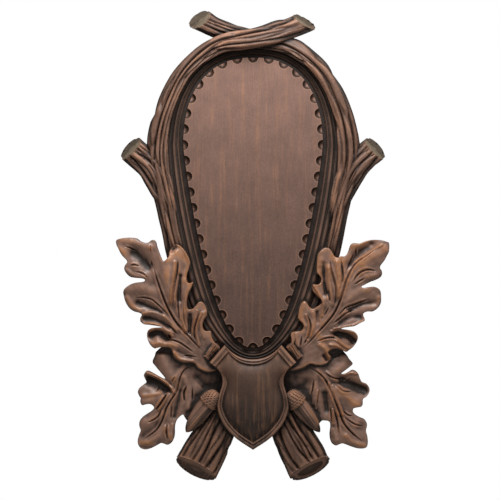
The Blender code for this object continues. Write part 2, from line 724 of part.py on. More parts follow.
def wood():
    material = bpy.data.materials.new("stained_wood")
    material.use_nodes = True
    shader = material.node_tree.nodes["Principled BSDF"]
    shader.inputs["Base Color"].default_value = WOOD_COLOUR
    shader.inputs["Roughness"].default_value = WOOD_ROUGHNESS
    return material


def make_plaque():
    """All the carved forms grown together into the one solid of wood."""
    plaque = make_board()
    plaque.name = "carved_plaque"
    forms = [make_panel(), make_core(), make_shield()]
    for side_name, hand, upper, lower in SIDES:
        forms.append(make_branch(side_name, hand, CROSSING_LIFT * -hand))
        forms.append(make_stub(side_name, hand))
        forms.append(make_log(side_name, hand))
        forms.append(make_acorn(side_name, hand))
        forms.append(make_twig(side_name, hand))
        forms.append(make_leaf("upper_leaf_" + side_name, upper, hand, UPPER_LEAF_BACK))
        forms.append(make_leaf("lower_leaf_" + side_name, lower, hand, LOWER_LEAF_BACK))
    carving = bpy.data.collections.new("carved_forms")
    bpy.context.scene.collection.children.link(carving)
    for form in forms:
        bpy.context.scene.collection.objects.unlink(form)
        carving.objects.link(form)
        form.hide_render = True
        form.display_type = "WIRE"
    join = plaque.modifiers.new("grown_together", "BOOLEAN")
    join.operation = "UNION"
    join.solver = "EXACT"
    join.operand_type = "COLLECTION"
    join.collection = carving
    seams = plaque.modifiers.new("clean_seams", "WELD")
    seams.merge_threshold = SEAM_MERGE
    plaque.data.materials.append(wood())
    return plaque


def main():
    clear_scene()
    make_plaque()


main()
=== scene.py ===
"""Carved and stained wooden wall plaque for antlers, dressed for a studio picture.

An egg-shaped panel with a scalloped edge sits in a moulded ring. Two barked branches cross at its
crown, and their sawn butts cross behind a small shield, with a spray of two oak leaves and an acorn
on each side.

X runs to the right, Z up, and the back lies on the wall plane Y = 0. "Relief" is the distance in
front of it.
"""

import json
import math
from collections import namedtuple
from functools import partial

import bmesh
import bpy
import numpy as np
from bpy.props import FloatProperty, FloatVectorProperty, IntProperty, PointerProperty
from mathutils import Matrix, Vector

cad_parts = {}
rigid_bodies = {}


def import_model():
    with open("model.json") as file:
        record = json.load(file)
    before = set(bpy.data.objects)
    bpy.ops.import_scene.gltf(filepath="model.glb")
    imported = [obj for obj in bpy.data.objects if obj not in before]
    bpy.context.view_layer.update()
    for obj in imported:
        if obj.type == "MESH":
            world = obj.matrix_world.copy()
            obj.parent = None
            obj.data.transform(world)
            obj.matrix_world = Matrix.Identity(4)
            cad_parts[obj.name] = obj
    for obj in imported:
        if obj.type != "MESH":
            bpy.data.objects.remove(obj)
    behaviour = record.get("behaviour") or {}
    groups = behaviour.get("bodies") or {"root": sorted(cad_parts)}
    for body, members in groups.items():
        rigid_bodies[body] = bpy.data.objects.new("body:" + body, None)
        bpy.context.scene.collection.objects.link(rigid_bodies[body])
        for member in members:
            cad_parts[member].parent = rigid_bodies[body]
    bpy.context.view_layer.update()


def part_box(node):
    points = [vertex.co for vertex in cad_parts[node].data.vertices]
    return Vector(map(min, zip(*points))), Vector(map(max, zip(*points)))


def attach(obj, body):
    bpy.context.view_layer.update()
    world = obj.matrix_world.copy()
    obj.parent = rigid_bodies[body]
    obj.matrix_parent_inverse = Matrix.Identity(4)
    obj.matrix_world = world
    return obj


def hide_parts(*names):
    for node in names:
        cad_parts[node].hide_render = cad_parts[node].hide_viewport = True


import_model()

bl_info = {
    "name": "Carved antler plaque",
    "version": (1, 0, 0),
    "blender": (4, 5, 0),
    "location": "View3D > Sidebar > Plaque",
    "description": "Makes a carved wall plaque with oak leaves, branches, acorns and a shield",
    "category": "Add Mesh",
}

NODE = "carved_plaque"
CAD_LOW, CAD_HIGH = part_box(NODE)

# Fixed proportions of the egg, the branches and the leaves, shared by several pieces
CROWN_FULLNESS = 2.3
FOOT_BEND = 1.15
FOOT_FULLNESS = 0.47
RING_FLOOR = 0.0135
RING_BEAD = 0.0175
POINTS_PER_CUT = 36
BRANCH_FOOT_LEVEL = -0.116
STUB_LEVEL = 0.1125
TUBE_DEPTH = 0.0135
WALL_GAP = 0.002
CUT_SLANT = 0.52
END_SHARES = (0.965, 0.93, 0.86, 0.78, 0.73, 0.70, 0.66, 0.62, 0.58, 0.54, 0.44, 0.30, 0.16, 0.04)
# Places on the right-hand side, to the right and up and in front of the wall
BUTT_TOP, BUTT_END = (0.0275, -0.178), (0.0663, -0.2597)
TWIG_TOP, TWIG_END = (0.0425, -0.1170, 0.0315), (0.0545, -0.1325, 0.0285)
ACORN_PLACE = (0.0515, -0.1842, 0.0325)
ACORN_HEADING, ACORN_SINK = 232, -0.16
LEAF_BACK = 0.010
CORNERS = ((0, 0), (0, 1), (1, 0), (1, 1))

# The stain is worked out on a grid of cells, from points that lie closer than its cells are wide.
# Each step has a radius in cells, the depth and the most of a hollow, and a ridge's height and gain.
TONE_CELL = 0.0008
TONE_MARGIN = 0.006
TONE_STEPS = (
    (2, 0.0010, 1.6, 0.00050, 0.9),
    (5, 0.0026, 1.3, 0.0014, 0.9),
    (13, 0.0065, 0.65, 0.0042, 0.45),
)
POINT_GAP = 0.00065
MOST_POINTS = 9_000_000

# What the camera looks at, to the right and up from the plaque's middle, and how far in front
VIEW_MIDDLE = (-0.0035, -0.0058)
VIEW_RELIEF = 0.03
SENSOR_WIDTH = 36.0

# The leaves are drawn on a grid of squares of 1.165 mm. Its columns are counted to the right and its
# rows downwards, and the plaque's middle lies at (253, 245). Reliefs of forms and cuts are in the
# same squares.
GRID = 0.001165
GRID_MIDDLE = (253, 245)
FIRST_LOWER_ROW = 300

# A form is a soft ridge or hollow along a line: its points, half breadth and height.
# A cut is a narrow groove with raised lips: its points, half breadth and depth.
# A wear and light mark paints the stain lighter along a line, for worn stain and painted highlights,
# and darker where its strength is negative, for painted shade: its points, half breadth and strength.
# A leaf's first cut is its midrib.
Leaf = namedtuple("Leaf", "outline tip_relief stem_relief forms cuts rubs")

LEFT_UPPER = Leaf((
    (116.2, 240.3), (121, 238.4), (128.7, 237.6), (136, 238.2), (140.3, 241), (144, 242.6),
    (147.8, 242.7), (150.8, 240.6), (153.3, 239.9), (155.8, 241.9), (157, 246.5), (158.7, 251.5),
    (161.2, 257.8), (162.6, 260.7), (164.3, 261), (166.4, 259.2), (168.7, 256.3), (169.8, 251.5),
    (172.5, 247.2), (175.5, 244.6), (179, 245.4), (182.2, 247.8), (185.5, 252), (188.2, 257),
    (189.9, 262.5), (188.8, 268.2), (187, 273.5), (186.3, 279), (187.4, 282.4), (190, 283.3),
    (192.9, 282), (191.6, 287.3), (189, 292.5), (187.2, 298.5), (186.8, 304.8), (188, 309.2),
    (192, 309.2), (195.3, 306.5), (198, 303), (201.3, 301.8), (204.5, 304.6), (206.6, 309.8),
    (206.8, 315), (204.3, 319.2), (202.6, 324), (203, 328.2), (205, 331), (208, 331.4),
    (210.6, 331.6), (211.4, 336.5), (213.7, 341.5), (218, 346.5), (222, 356), (220, 368),
    (209, 372), (200, 369), (196.6, 365.8), (195, 363.6), (191.5, 362.3), (184, 362.2),
    (179.2, 360.6), (176, 358.4), (173.6, 355.6), (172.6, 352), (171.4, 348.9), (168.3, 347.2),
    (163, 347), (157, 348), (154.6, 348.6), (151.4, 346.3), (148.7, 342.3), (146.9, 336.5),
    (147.4, 331.6), (149.9, 329), (153.7, 328.1), (159.5, 327.8), (163, 327.2), (160.3, 326.6),
    (154.5, 325.6), (148.7, 324.8), (144.2, 324.3), (140.6, 321.6), (140.2, 318.2), (141.8, 314.8),
    (139.4, 312.8), (134.1, 311.4), (129.9, 308.6), (127, 304.8), (125, 300.7), (124, 296.5),
    (123.2, 292.4), (124.2, 289.3), (126.7, 286.8), (130.4, 284.4), (134.6, 282.9), (140.3, 282.2),
    (144.2, 281.3), (145, 279.8), (143.2, 278.7), (140.2, 278.2), (135.2, 277.8), (130.4, 276.8),
    (127, 274), (124.6, 270.3), (124.3, 267.3), (125.4, 264.7), (127, 262.7), (126.9, 260.7),
    (124.8, 258.3), (122, 255.4), (119.9, 251.9), (118, 248), (116.5, 245),
), 0.034, 0.029, (
    (((133, 252), (140, 257), (148, 266)), 6.0, -3.2),
    (((118, 249), (124, 252)), 5.0, 1.4),
    (((122, 241), (136, 243), (150, 247)), 4.0, 1.2),
    (((127, 270), (134, 275), (144, 277)), 2.2, 1.0),
    (((169, 262), (168, 280), (172, 300)), 6.0, 2.4),
    (((175, 262), (173, 285), (170, 302)), 1.5, 1.3),
    (((180, 276), (179, 300)), 2.2, -2.4),
    (((192, 284), (186, 297), (184, 318), (186, 330)), 1.8, 1.8),
    (((176, 300), (182, 325)), 1.3, 0.8),
    (((128, 288), (140, 288), (152, 292)), 5.0, 1.3),
    (((138, 303), (150, 307), (160, 313)), 3.4, -2.2),
    (((127, 298), (131, 305), (139, 310)), 3.0, 1.2),
    (((143, 314), (154, 312), (166, 318), (177, 330)), 1.8, 1.3),
    (((145, 318), (156, 320), (168, 327)), 3.0, -2.0),
    (((144, 323.5), (152, 323.6), (161, 326), (172, 333)), 1.3, 1.3),
    (((151, 335), (158, 333), (166, 338)), 4.6, -4.6),
    (((149, 330), (155, 328.6), (164, 330), (172, 336)), 1.2, 1.3),
    (((153, 344), (163, 343), (176, 346)), 3.0, 1.4),
    (((174, 353), (180, 359), (192, 361)), 1.5, 1.2),
    (((178, 351), (190, 357)), 2.6, -1.2),
    (((190, 315), (189, 332)), 2.4, -2.2),
    (((197, 311), (194, 322), (192, 333)), 1.0, 1.5),
    (((202, 313), (198, 322), (196, 332), (199, 345)), 1.2, 1.7),
    (((205, 312), (201, 326), (204, 338)), 1.2, 0.9),
    (((180, 249), (185, 262), (184, 276)), 3.4, -1.4),
    (((172, 250), (175, 247)), 2.5, -3.0),
), (
    (((153, 266), (157.4, 280.7), (162, 294), (167, 306.5), (173.7, 319), (181, 328.5), (190, 338),
      (203, 352)), 1.05, 1.9),
    (((135, 298), (143.7, 297.6), (151.2, 299.4), (156.2, 303.2), (162, 308.6),
      (168.7, 315.7)), 0.85, 1.3),
    (((130, 265.7), (134, 264.8), (139, 266.2)), 0.9, 1.4),
    (((135, 272), (139.5, 272.3), (144.5, 274.8), (148, 278.4)), 0.8, 1.1),
    (((124.5, 246.3), (130.3, 248), (136.5, 251)), 0.75, 1.1),
    (((150.8, 245), (150, 252.5)), 0.7, 1.2),
    (((151, 260.5), (152.6, 267)), 0.7, 1.0),
    (((177.9, 260), (177, 271.5), (174.5, 284), (172.8, 295.7), (172.6, 308)), 1.15, 2.6),
    (((178.7, 284), (177.4, 294), (177.8, 304.8), (179.6, 321)), 0.9, 1.9),
    (((166.8, 324.3), (172.8, 329), (177.6, 334.6)), 0.8, 1.5),
    (((165.5, 340.6), (172, 340.2), (178.7, 342.3), (185.3, 346.5), (194, 353)), 0.85, 1.6),
    (((183, 307), (184, 320), (188, 334)), 0.9, 1.6),
    (((199.4, 312.6), (196.2, 322.3), (194.1, 330.7), (195.2, 340)), 1.0, 2.0),
    (((183, 356), (190, 355.6), (198, 358)), 0.7, 1.0),
    (((168.5, 334), (171, 338.5)), 1.2, 2.4),
), (
    # Worn stain and painted highlights, and painted shade where the strength is negative
    (((163, 258), (170, 257), (177, 254), (186, 260)), 3.0, 0.9),
    (((166, 268), (167, 284), (172, 300)), 3.6, 0.40),
    (((119, 250), (123, 253)), 4.0, 0.5),
    (((127, 300), (133, 306)), 3.0, 0.45),
    (((140, 288), (152, 292)), 4.0, 0.25),
    (((182, 330), (186, 340)), 2.4, 0.4),
    (((136, 256), (146, 266)), 4.0, -0.35),
    (((175.5, 262), (173.5, 285), (171, 300)), 1.3, 0.9),
    (((144, 323.4), (153, 323.6), (161, 325.6)), 0.9, 0.8),
    (((118, 241), (126, 239), (134, 240)), 2.4, 0.6),
    (((120, 250), (124, 250)), 4.5, 0.35),
    (((174, 353), (178, 358)), 1.6, 1.0),
    (((183, 308), (181, 322), (184, 330)), 1.4, 0.6),
    (((201, 313), (198, 322), (196.5, 330)), 0.9, 0.8),
))
RIGHT_UPPER = Leaf((
    (389, 243.2), (388.8, 251.5), (386.8, 255.7), (384.7, 259.8), (382.2, 263.2), (380.2, 266),
    (380.2, 268.6), (381.8, 271), (381.9, 274.6), (379.7, 277.7), (374.7, 280.3), (369.7, 282.1),
    (364.7, 284.7), (361.4, 286.6), (364, 288), (369.7, 287.2), (374.7, 286.9), (378.4, 288.5),
    (380.6, 291.5), (381.2, 297.3), (380.8, 303.2), (378, 307.8), (373, 311.4), (368, 311.5),
    (364.4, 312.7), (363.2, 314.9), (364.6, 318.4), (364.5, 320.8), (360.5, 322.9), (354.7, 326),
    (348.8, 326.9), (343, 327.9), (341.3, 329), (344.7, 329.7), (349.7, 330.4), (353.9, 331.6),
    (356.8, 334), (358, 337.4), (357.2, 341.5), (353.8, 346.5), (349.7, 349.8), (346.3, 352),
    (343.4, 350.9), (338.6, 348.7), (333.2, 348.8), (329, 351), (328.2, 353.6), (330.8, 357.3),
    (329.2, 360.4), (326.2, 363.3), (321.5, 365), (315.4, 364.8), (310, 363.8), (302, 368),
    (290, 370), (284, 360), (288, 350), (290.5, 346.5), (291.6, 341.5), (290.9, 334.4),
    (293, 332.3), (297.2, 331.5), (301.3, 331), (303.7, 327.4), (303, 324), (299.8, 320.7),
    (298, 318), (298.8, 312.3), (300.5, 305.7), (303.8, 301.2), (306.3, 302.4), (309.7, 307.2),
    (313, 309), (316.3, 307.4), (319.8, 304.9), (321.8, 302.8), (321, 299.6), (316.5, 295),
    (313, 290.9), (312.4, 287), (313.8, 284.3), (317.2, 284.9), (320.6, 283), (321.3, 278.4),
    (319, 275), (317, 272.6), (316.8, 267.3), (317.2, 260), (318, 254.8), (320.5, 251),
    (323.8, 248.3), (326.4, 247.8), (329.7, 249), (332.5, 253), (334.6, 256.5), (338, 257.6),
    (341.5, 256.2), (344.7, 256.4), (347.2, 254.4), (348.8, 250.7), (350.1, 246.5), (351.8, 244),
    (354.7, 243), (359.7, 243.5), (363.8, 241.9), (368.8, 240.3), (374.7, 239.7), (381.3, 240.2),
    (385.6, 241.4),
), 0.034, 0.029, (
    (((350, 264), (359, 253), (371, 245)), 4.4, -3.2),
    (((364, 263), (374, 256), (385, 250)), 5.5, 1.6),
    (((363, 258), (372, 251), (382, 245)), 1.0, 1.0),
    (((353, 246), (360, 245)), 3.0, 1.0),
    (((328, 268), (330, 288), (332, 304)), 2.2, 1.8),
    (((336.5, 262), (339, 280), (338, 296)), 2.6, 2.2),
    (((324, 264), (323.5, 280), (326, 293)), 2.4, -2.8),
    (((320, 252), (322, 264)), 3.4, 1.2),
    (((314, 286), (319.5, 295), (323, 304), (322, 316)), 1.4, 1.8),
    (((326, 300), (329, 312), (322, 324)), 3.4, 1.2),
    (((366, 277), (375, 275)), 3.0, 0.9),
    (((367, 290), (355, 294), (346, 302)), 4.5, 1.4),
    (((375, 303), (362, 304), (350, 310)), 3.2, -2.0),
    (((379, 298), (376, 306)), 3.0, 1.2),
    (((360, 317), (350, 317), (340, 323)), 3.4, -1.8),
    (((364, 320.5), (354, 324.8), (343, 327.4), (334, 329)), 1.2, 1.3),
    (((338, 334), (347, 336), (354, 341)), 5.0, -5.2),
    (((331, 331), (342, 330.6), (353, 332.3)), 1.1, 1.2),
    (((336, 338.5), (343, 345), (349, 348.5)), 1.6, 2.6),
    (((330, 345), (337, 346), (346, 351)), 1.4, 1.6),
    (((320, 345), (326, 350), (329, 357)), 2.2, 1.4),
    (((324.5, 356), (327, 360)), 2.2, -3.2),
    (((304, 304), (301, 316), (305, 326)), 2.2, 0.9),
    (((306, 315), (309, 326), (307, 340)), 1.0, 1.6),
    (((313, 313), (314, 325), (311, 336)), 2.0, 1.0),
    (((296, 334), (298, 346)), 2.0, 1.2),
    (((317, 312), (318, 322)), 1.6, -1.6),
), (
    (((379.5, 246.8), (374.7, 249.8), (365.5, 256.5), (357, 262.5), (351.3, 270), (346.3, 281),
      (343, 292.3), (338.8, 304), (333.8, 314), (327.2, 322.3), (319.7, 330.7), (313, 338.2),
      (303, 349)), 1.0, 1.9),
    (((353, 282), (356.3, 276.5), (360.5, 272.3), (365.5, 270), (370.5, 269.9),
      (376, 271.2)), 1.0, 1.8),
    (((354.6, 284.8), (358.8, 281.5), (365, 278)), 0.85, 1.4),
    (((371, 298.6), (363, 301), (354.7, 304), (346.3, 307.3), (341.3, 312.3), (337.6, 318)), 0.8, 1.4),
    (((354.2, 310), (346.3, 313.2), (339.7, 318.2), (332.6, 324.4)), 0.85, 1.5),
    (((330, 260.5), (331.3, 269.8), (333.8, 279), (335.9, 288.2), (335.9, 297.3),
      (334.6, 304)), 0.95, 2.2),
    (((341, 259.6), (342.2, 269), (342.8, 277.3), (342, 284.5)), 1.0, 2.0),
    (((328.2, 289), (329.3, 295.7), (330.2, 302.5)), 1.1, 2.0),
    (((329, 307), (324.4, 316.4)), 0.7, 1.1),
    (((306.6, 314.8), (309.7, 321.5), (310.6, 328.2), (308.8, 335.7), (303.5, 345)), 1.0, 2.0),
    (((316.6, 342), (323, 339), (329.7, 337.7), (334.7, 338.2), (339.4, 342.2)), 0.9, 1.7),
    (((355.9, 248), (355.6, 254.6)), 0.8, 1.6),
    (((354, 252), (350, 262), (346, 272)), 0.7, 1.1),
    (((343, 328), (349, 326.6), (354, 325.8)), 0.6, 0.8),
    (((302, 336), (300, 348)), 0.8, 1.4),
    (((296, 338), (293, 350)), 0.8, 1.2),
), (
    # Worn stain and painted highlights, and painted shade where the strength is negative
    (((330, 257), (338, 260), (344, 262)), 2.6, 0.9),
    (((333, 268), (338, 282), (340, 296)), 5.0, 0.50),
    (((365, 262), (376, 256), (384, 250)), 7.0, 0.50),
    (((346, 288), (350, 276), (360, 266)), 5.0, 0.35),
    (((362, 276), (372, 275)), 3.4, 0.35),
    (((350, 294), (366, 291), (374, 293)), 4.0, 0.30),
    (((322, 312), (318, 322), (310, 334)), 3.4, 0.42),
    (((371, 306), (378, 300)), 2.6, 0.5),
    (((300, 320), (303, 310)), 2.4, 0.4),
    (((351, 247), (356, 246.4), (366, 243.4)), 2.4, 0.8),
    (((363, 321), (354, 325), (344, 327.6), (334, 329.4)), 1.0, 0.9),
    (((318, 334), (322, 342), (327, 350), (330, 356)), 3.0, 1.0),
    (((330, 344), (336, 343), (342, 347)), 1.4, 0.6),
    (((313.5, 287), (319, 295)), 0.9, 0.7),
    (((371, 246), (384, 245)), 2.0, 0.4),
    (((325, 262), (328, 268)), 2.0, 0.6),
))
LEFT_LOWER = Leaf((
    (156.4, 351.4), (154.6, 355.8), (152.3, 362), (155.4, 366.6), (159.2, 371.2), (163, 375.7),
    (165, 378.6), (163, 378.9), (159.2, 377), (153.1, 373.5), (148.1, 371.1), (145.4, 372),
    (143.5, 375.5), (144.6, 378.9), (146, 382.6), (143.1, 385.1), (139.3, 388.2), (137.6, 392),
    (138.8, 395.8), (140.4, 398.4), (140.1, 402), (141.9, 405.4), (145.4, 404.7), (149.2, 404.2),
    (152.3, 405.4), (153.9, 408), (151.5, 411.2), (146.2, 414.7), (141.6, 418.2), (139.3, 422),
    (139.2, 426), (140.5, 430.5), (138.9, 435.1), (137.6, 440.5), (138.2, 445), (140.9, 448.4),
    (145.4, 449.6), (150.8, 448.4), (156.2, 445.8), (160.8, 443.3), (163.9, 443.9), (167.6, 445),
    (171.4, 442.8), (173.7, 438.9), (174.6, 434.3), (174.8, 426.6), (176.3, 421.2), (178.7, 417.8),
    (182.7, 414.8), (184.8, 417.8), (188, 421), (200, 422), (218, 416), (230, 402), (233, 385),
    (230, 366), (214, 354), (190, 349), (166, 346),
), 0.027, 0.0225, (
    (((149, 381), (156, 384), (165, 389)), 5.6, -5.5),
    (((147, 373.4), (155, 376.4), (163, 381), (170, 387), (174, 393)), 1.2, 2.2),
    (((143, 396), (152, 395), (160, 393)), 2.4, 1.2),
    (((144, 402), (152, 400)), 3.0, 1.0),
    (((162, 358), (166, 368), (173, 378)), 5.0, 1.4),
    (((160, 352), (170, 352)), 3.0, -1.5),
    (((168, 394), (164, 402), (159, 410)), 1.4, 1.3),
    (((163, 399), (158, 406)), 1.0, 0.6),
    (((143, 424), (150, 420), (160, 413)), 4.0, 0.9),
    (((142, 436), (150, 430), (158, 424)), 3.0, -0.8),
    (((148, 443), (158, 436), (165, 428)), 3.4, 1.4),
    (((171, 440), (172, 425)), 1.8, 0.9),
    (((180, 392), (177, 405), (174, 416)), 3.6, -2.0),
    (((184, 378), (189, 392), (188, 408)), 2.6, 0.9),
    (((198, 378), (205, 385)), 5.0, -1.5),
    (((172, 388), (176, 376), (184, 366)), 2.0, 0.8),
    (((158, 447), (141, 447)), 1.6, -0.8),
), (
    (((193, 366), (186.2, 368.5), (182.3, 372.8), (179.6, 378.9), (177.7, 386.6), (175.8, 392.8),
      (170.8, 400.5), (166.9, 407.4), (163.8, 415.8), (160.8, 423.5), (156.2, 430.5),
      (149.2, 435.8),
      (141.6, 441.2)), 0.95, 1.8),
    (((166.8, 394.2), (162.3, 401.2), (155.6, 410.4)), 1.15, 4.2),
    (((161.4, 407.4), (159.6, 413.5), (156.2, 418.2), (147, 423.2)), 0.9, 1.5),
    (((175, 376.6), (171.5, 382.6)), 0.85, 1.5),
    (((186.6, 386.4), (183.8, 393.5), (184.4, 402.2)), 1.1, 1.8),
    (((192.4, 387), (192.2, 402)), 0.7, 1.0),
    (((167, 424), (166.2, 432), (167.5, 440)), 1.0, 2.0),
    (((171.6, 405), (170.4, 420)), 0.8, 1.2),
    (((166, 406), (164, 414)), 0.7, 1.0),
    (((160, 387), (156, 392)), 0.7, 0.9),
), (
    # Worn stain and painted highlights, and painted shade where the strength is negative
    (((147, 373), (155, 376), (163, 380.6), (172, 388)), 1.1, 1.0),
    (((175.5, 392), (178, 382)), 1.0, 0.5),
    (((143, 397), (150, 397)), 1.6, 0.4),
    (((139, 442), (146, 444), (154, 444)), 2.0, 0.5),
    (((148, 384), (160, 388)), 3.6, -0.8),
    (((146, 399), (158, 396)), 3.4, 0.5),
    (((141, 444), (152, 444)), 3.0, 0.5),
    (((168, 425), (171, 438)), 2.6, 0.5),
))
RIGHT_LOWER = Leaf((
    (345.9, 354), (349.2, 358.8), (352.9, 363.5), (350.8, 366.4), (346.2, 370), (342, 373.2),
    (342.3, 374.5), (346.2, 373.8), (350, 371.6), (353.1, 370.2), (356.8, 371.9), (358.8, 374.6),
    (360, 378.1), (362.3, 382.3), (366.9, 384.3), (369.7, 388.5), (369.5, 392.7), (366.9, 396.8),
    (363.3, 399.3), (362.9, 404.2), (361.4, 406.8), (356.9, 407.7), (353.6, 408.8), (353.2, 411.9),
    (355.5, 415), (360, 417.7), (364.6, 419.7), (367, 423.5), (366.9, 427.3), (366.1, 430.6),
    (367.3, 435.8), (368, 441.2), (367.2, 446.4), (364.4, 448.4), (358.5, 448.6), (352.3, 447),
    (346.2, 444.7), (342.3, 443.6), (339.2, 444.6), (335.8, 445.7), (332.4, 443.8), (330.5, 440.4),
    (329.8, 434.2), (330.5, 428.1), (330.3, 423.5), (328.5, 421.3), (325.4, 420.8), (322.3, 420.8),
    (320.1, 422.8), (317, 425), (304, 422), (288, 416), (276, 402), (273, 385), (276, 366),
    (292, 354), (316, 349), (336, 346),
), 0.027, 0.0225, (
    (((343, 382), (353, 386), (365, 391)), 5.8, -4.6),
    (((344, 374.6), (351, 373), (356.5, 374)), 1.2, 1.3),
    (((339, 389), (347, 397), (357, 405)), 4.2, 1.8),
    (((346, 358), (342, 366), (334, 373)), 4.6, 1.2),
    (((343, 352), (334, 356)), 3.0, -1.6),
    (((327, 372), (336, 381), (345, 381)), 1.4, 0.8),
    (((358, 421), (354, 430), (362, 436)), 4.0, 1.0),
    (((346, 436), (355, 443), (364, 446)), 3.4, 1.5),
    (((329, 384), (333.5, 400), (339, 415)), 1.3, 1.2),
    (((333, 386), (337, 398), (343, 415)), 1.2, 1.2),
    (((325, 394), (327, 410)), 3.8, -2.4),
    (((332.3, 410), (333.4, 424)), 1.0, 1.5),
    (((333, 430), (337, 440)), 2.4, 0.7),
    (((316, 376), (316, 392), (313, 404)), 2.4, 0.8),
    (((318, 391), (316, 409)), 0.9, 0.7),
    (((306, 382), (300, 390)), 5.0, -1.6),
    (((324, 378), (318, 370)), 3.0, 0.8),
), (
    (((309, 367.6), (316.2, 371.5), (322.3, 376.5), (326.9, 382.7), (330.8, 391.2), (333.8, 398.8),
      (337.7, 408.1), (340.8, 415.8), (343.8, 423.5), (350, 431.2), (356.9, 437.3), (364, 443.2)),
     1.1, 2.3),
    (((325.2, 372.8), (330.8, 376.9), (335.4, 378.8), (341, 378.8)), 0.85, 1.5),
    (((336, 384.8), (341.5, 390.2), (346.2, 392), (352, 392)), 0.9, 1.7),
    (((343.2, 411.2), (347.7, 415), (352.2, 416.4)), 0.85, 1.5),
    (((344.4, 417.4), (350.8, 421.9), (355.4, 424.6), (363, 426.4)), 0.85, 1.5),
    (((331, 407.5), (331.4, 414.2), (332, 424)), 0.9, 1.7),
    (((334.4, 410), (337.4, 421.9), (339.4, 436.6)), 0.9, 1.6),
    (((314, 379.6), (313.1, 388.1), (311.3, 396)), 0.8, 1.3),
    (((319.4, 388.6), (317.7, 400.4), (316.2, 409)), 0.7, 1.0),
    (((347.6, 381), (351.4, 377.6)), 0.6, 0.8),
), (
    # Worn stain and painted highlights, and painted shade where the strength is negative
    (((329, 386), (333, 398)), 1.2, 0.8),
    (((340, 392), (352, 402)), 4.4, 0.5),
    (((338, 430), (343, 442)), 3.0, 0.3),
    (((338, 388), (340, 396)), 2.4, 0.5),
    (((344, 434), (352, 441), (364, 446)), 3.6, 0.5),
    (((350, 404), (358, 405)), 2.4, 0.4),
    (((366, 430), (366, 440)), 1.6, 0.5),
    (((348, 385), (364, 391)), 4.6, -0.7),
))
SIDES = (("left", -1, LEFT_UPPER, LEFT_LOWER), ("right", 1, RIGHT_UPPER, RIGHT_LOWER))


def length_property(name, default, description):
    return FloatProperty(
        name=name, default=default, description=description, unit="LENGTH", precision=4, min=0, step=0.1
    )


def share_property(name, default, description, lowest=0.0, highest=10.0):
    return FloatProperty(
        name=name, default=default, description=description, subtype="FACTOR", min=lowest, max=highest
    )


def colour_property(name, default, description):
    return FloatVectorProperty(
        name=name, default=default, description=description, subtype="COLOR", size=4, min=0.0, max=1.0
    )


class PanelSizes(bpy.types.PropertyGroup):
    """The egg-shaped panel and the ring round it"""

    width: length_property("Width", 0.163, "Width of the egg at its widest level")
    level: length_property("Level", 0.1165, "Height of its widest level above the plaque's middle")
    crown: length_property("Crown", 0.1025, "From the widest level up to the crown")
    drop: length_property("Drop", 0.2365, "From the widest level down to the foot")
    relief: length_property("Relief", 0.021, "How far the panel's face stands in front of the wall")
    ring_width: length_property("Ring width", 0.0125, "Width of the ring at the crown and foot")
    ring_spread: length_property("Ring spread", 0.008, "Extra width of the ring at the flanks")
    lap: length_property("Lap", 0.011, "How far the board runs on under the branches")
    gouge_pitch: length_property("Gouge pitch", 0.0187, "Distance between two gouge cuts")
    gouge_width: length_property("Gouge width", 0.0118, "Width of a gouge cut at the panel's edge")
    gouge_length: length_property("Gouge length", 0.0060, "How far a gouge cut reaches inwards")
    gouge_depth: length_property("Gouge depth", 0.0062, "Depth of a gouge cut at the panel's edge")


class BranchSizes(bpy.types.PropertyGroup):
    """The two branches, their stubs and their sawn butts"""

    width: length_property("Width", 0.0205, "Width of a branch along the ring")
    end_width: length_property("End width", 0.0265, "Width of a branch at its cut end")
    swell: length_property("Swell", 0.0060, "Extra width beside the stub, on the outer side")
    front: length_property("Front", 0.0105, "How far a branch stands out from its middle line")
    relief: length_property("Relief", 0.0225, "Distance of a branch's middle line from the wall")
    lift: length_property("Lift", 0.008, "How far the upper branch rises at the crossing")
    reach: length_property("Reach", 0.0605, "From the middle of the crown to a cut end, across")
    climb: length_property("Climb", 0.0185, "From the crossing to a cut end, up")
    stub_reach: length_property("Stub reach", 0.0435, "How far a side stub stands out from the ring")
    stub_width: length_property("Stub width", 0.0325, "Width of a side stub at its cut")
    butt_width: length_property("Butt width", 0.0525, "Width of a sawn butt at its cut")
    bark_depth: length_property("Bark depth", 0.0017, "Depth of the grooves in the bark")
    bark_pitch: length_property("Bark pitch", 0.0047, "Distance from one bark groove to the next")
    seed: IntProperty(name="Seed", default=4, min=0, description="Changes the run of the bark grooves")


class LeafSizes(bpy.types.PropertyGroup):
    """The oak leaves"""

    cell: length_property("Cell", 0.00060, "Distance between the points that carry the carving")
    margin: length_property("Margin", 0.0009, "Rounding of a leaf's margin")
    droop: length_property("Droop", 0.0035, "How far a leaf falls away 45 mm from its midrib")
    unevenness: length_property("Unevenness", 0.0006, "Gentle unevenness of the carved surface")
    cut_breadth: share_property("Cut breadth", 1.3, "Breadth of the cuts, as a share", 0.1)
    cut_depth: share_property("Cut depth", 1.25, "Depth of the cuts, as a share")
    form_height: share_property("Form height", 1.2, "Height of the forms, as a share")
    lip: share_property("Lip", 0.28, "Raised lips of a cut, as a share of its depth", highest=1.0)


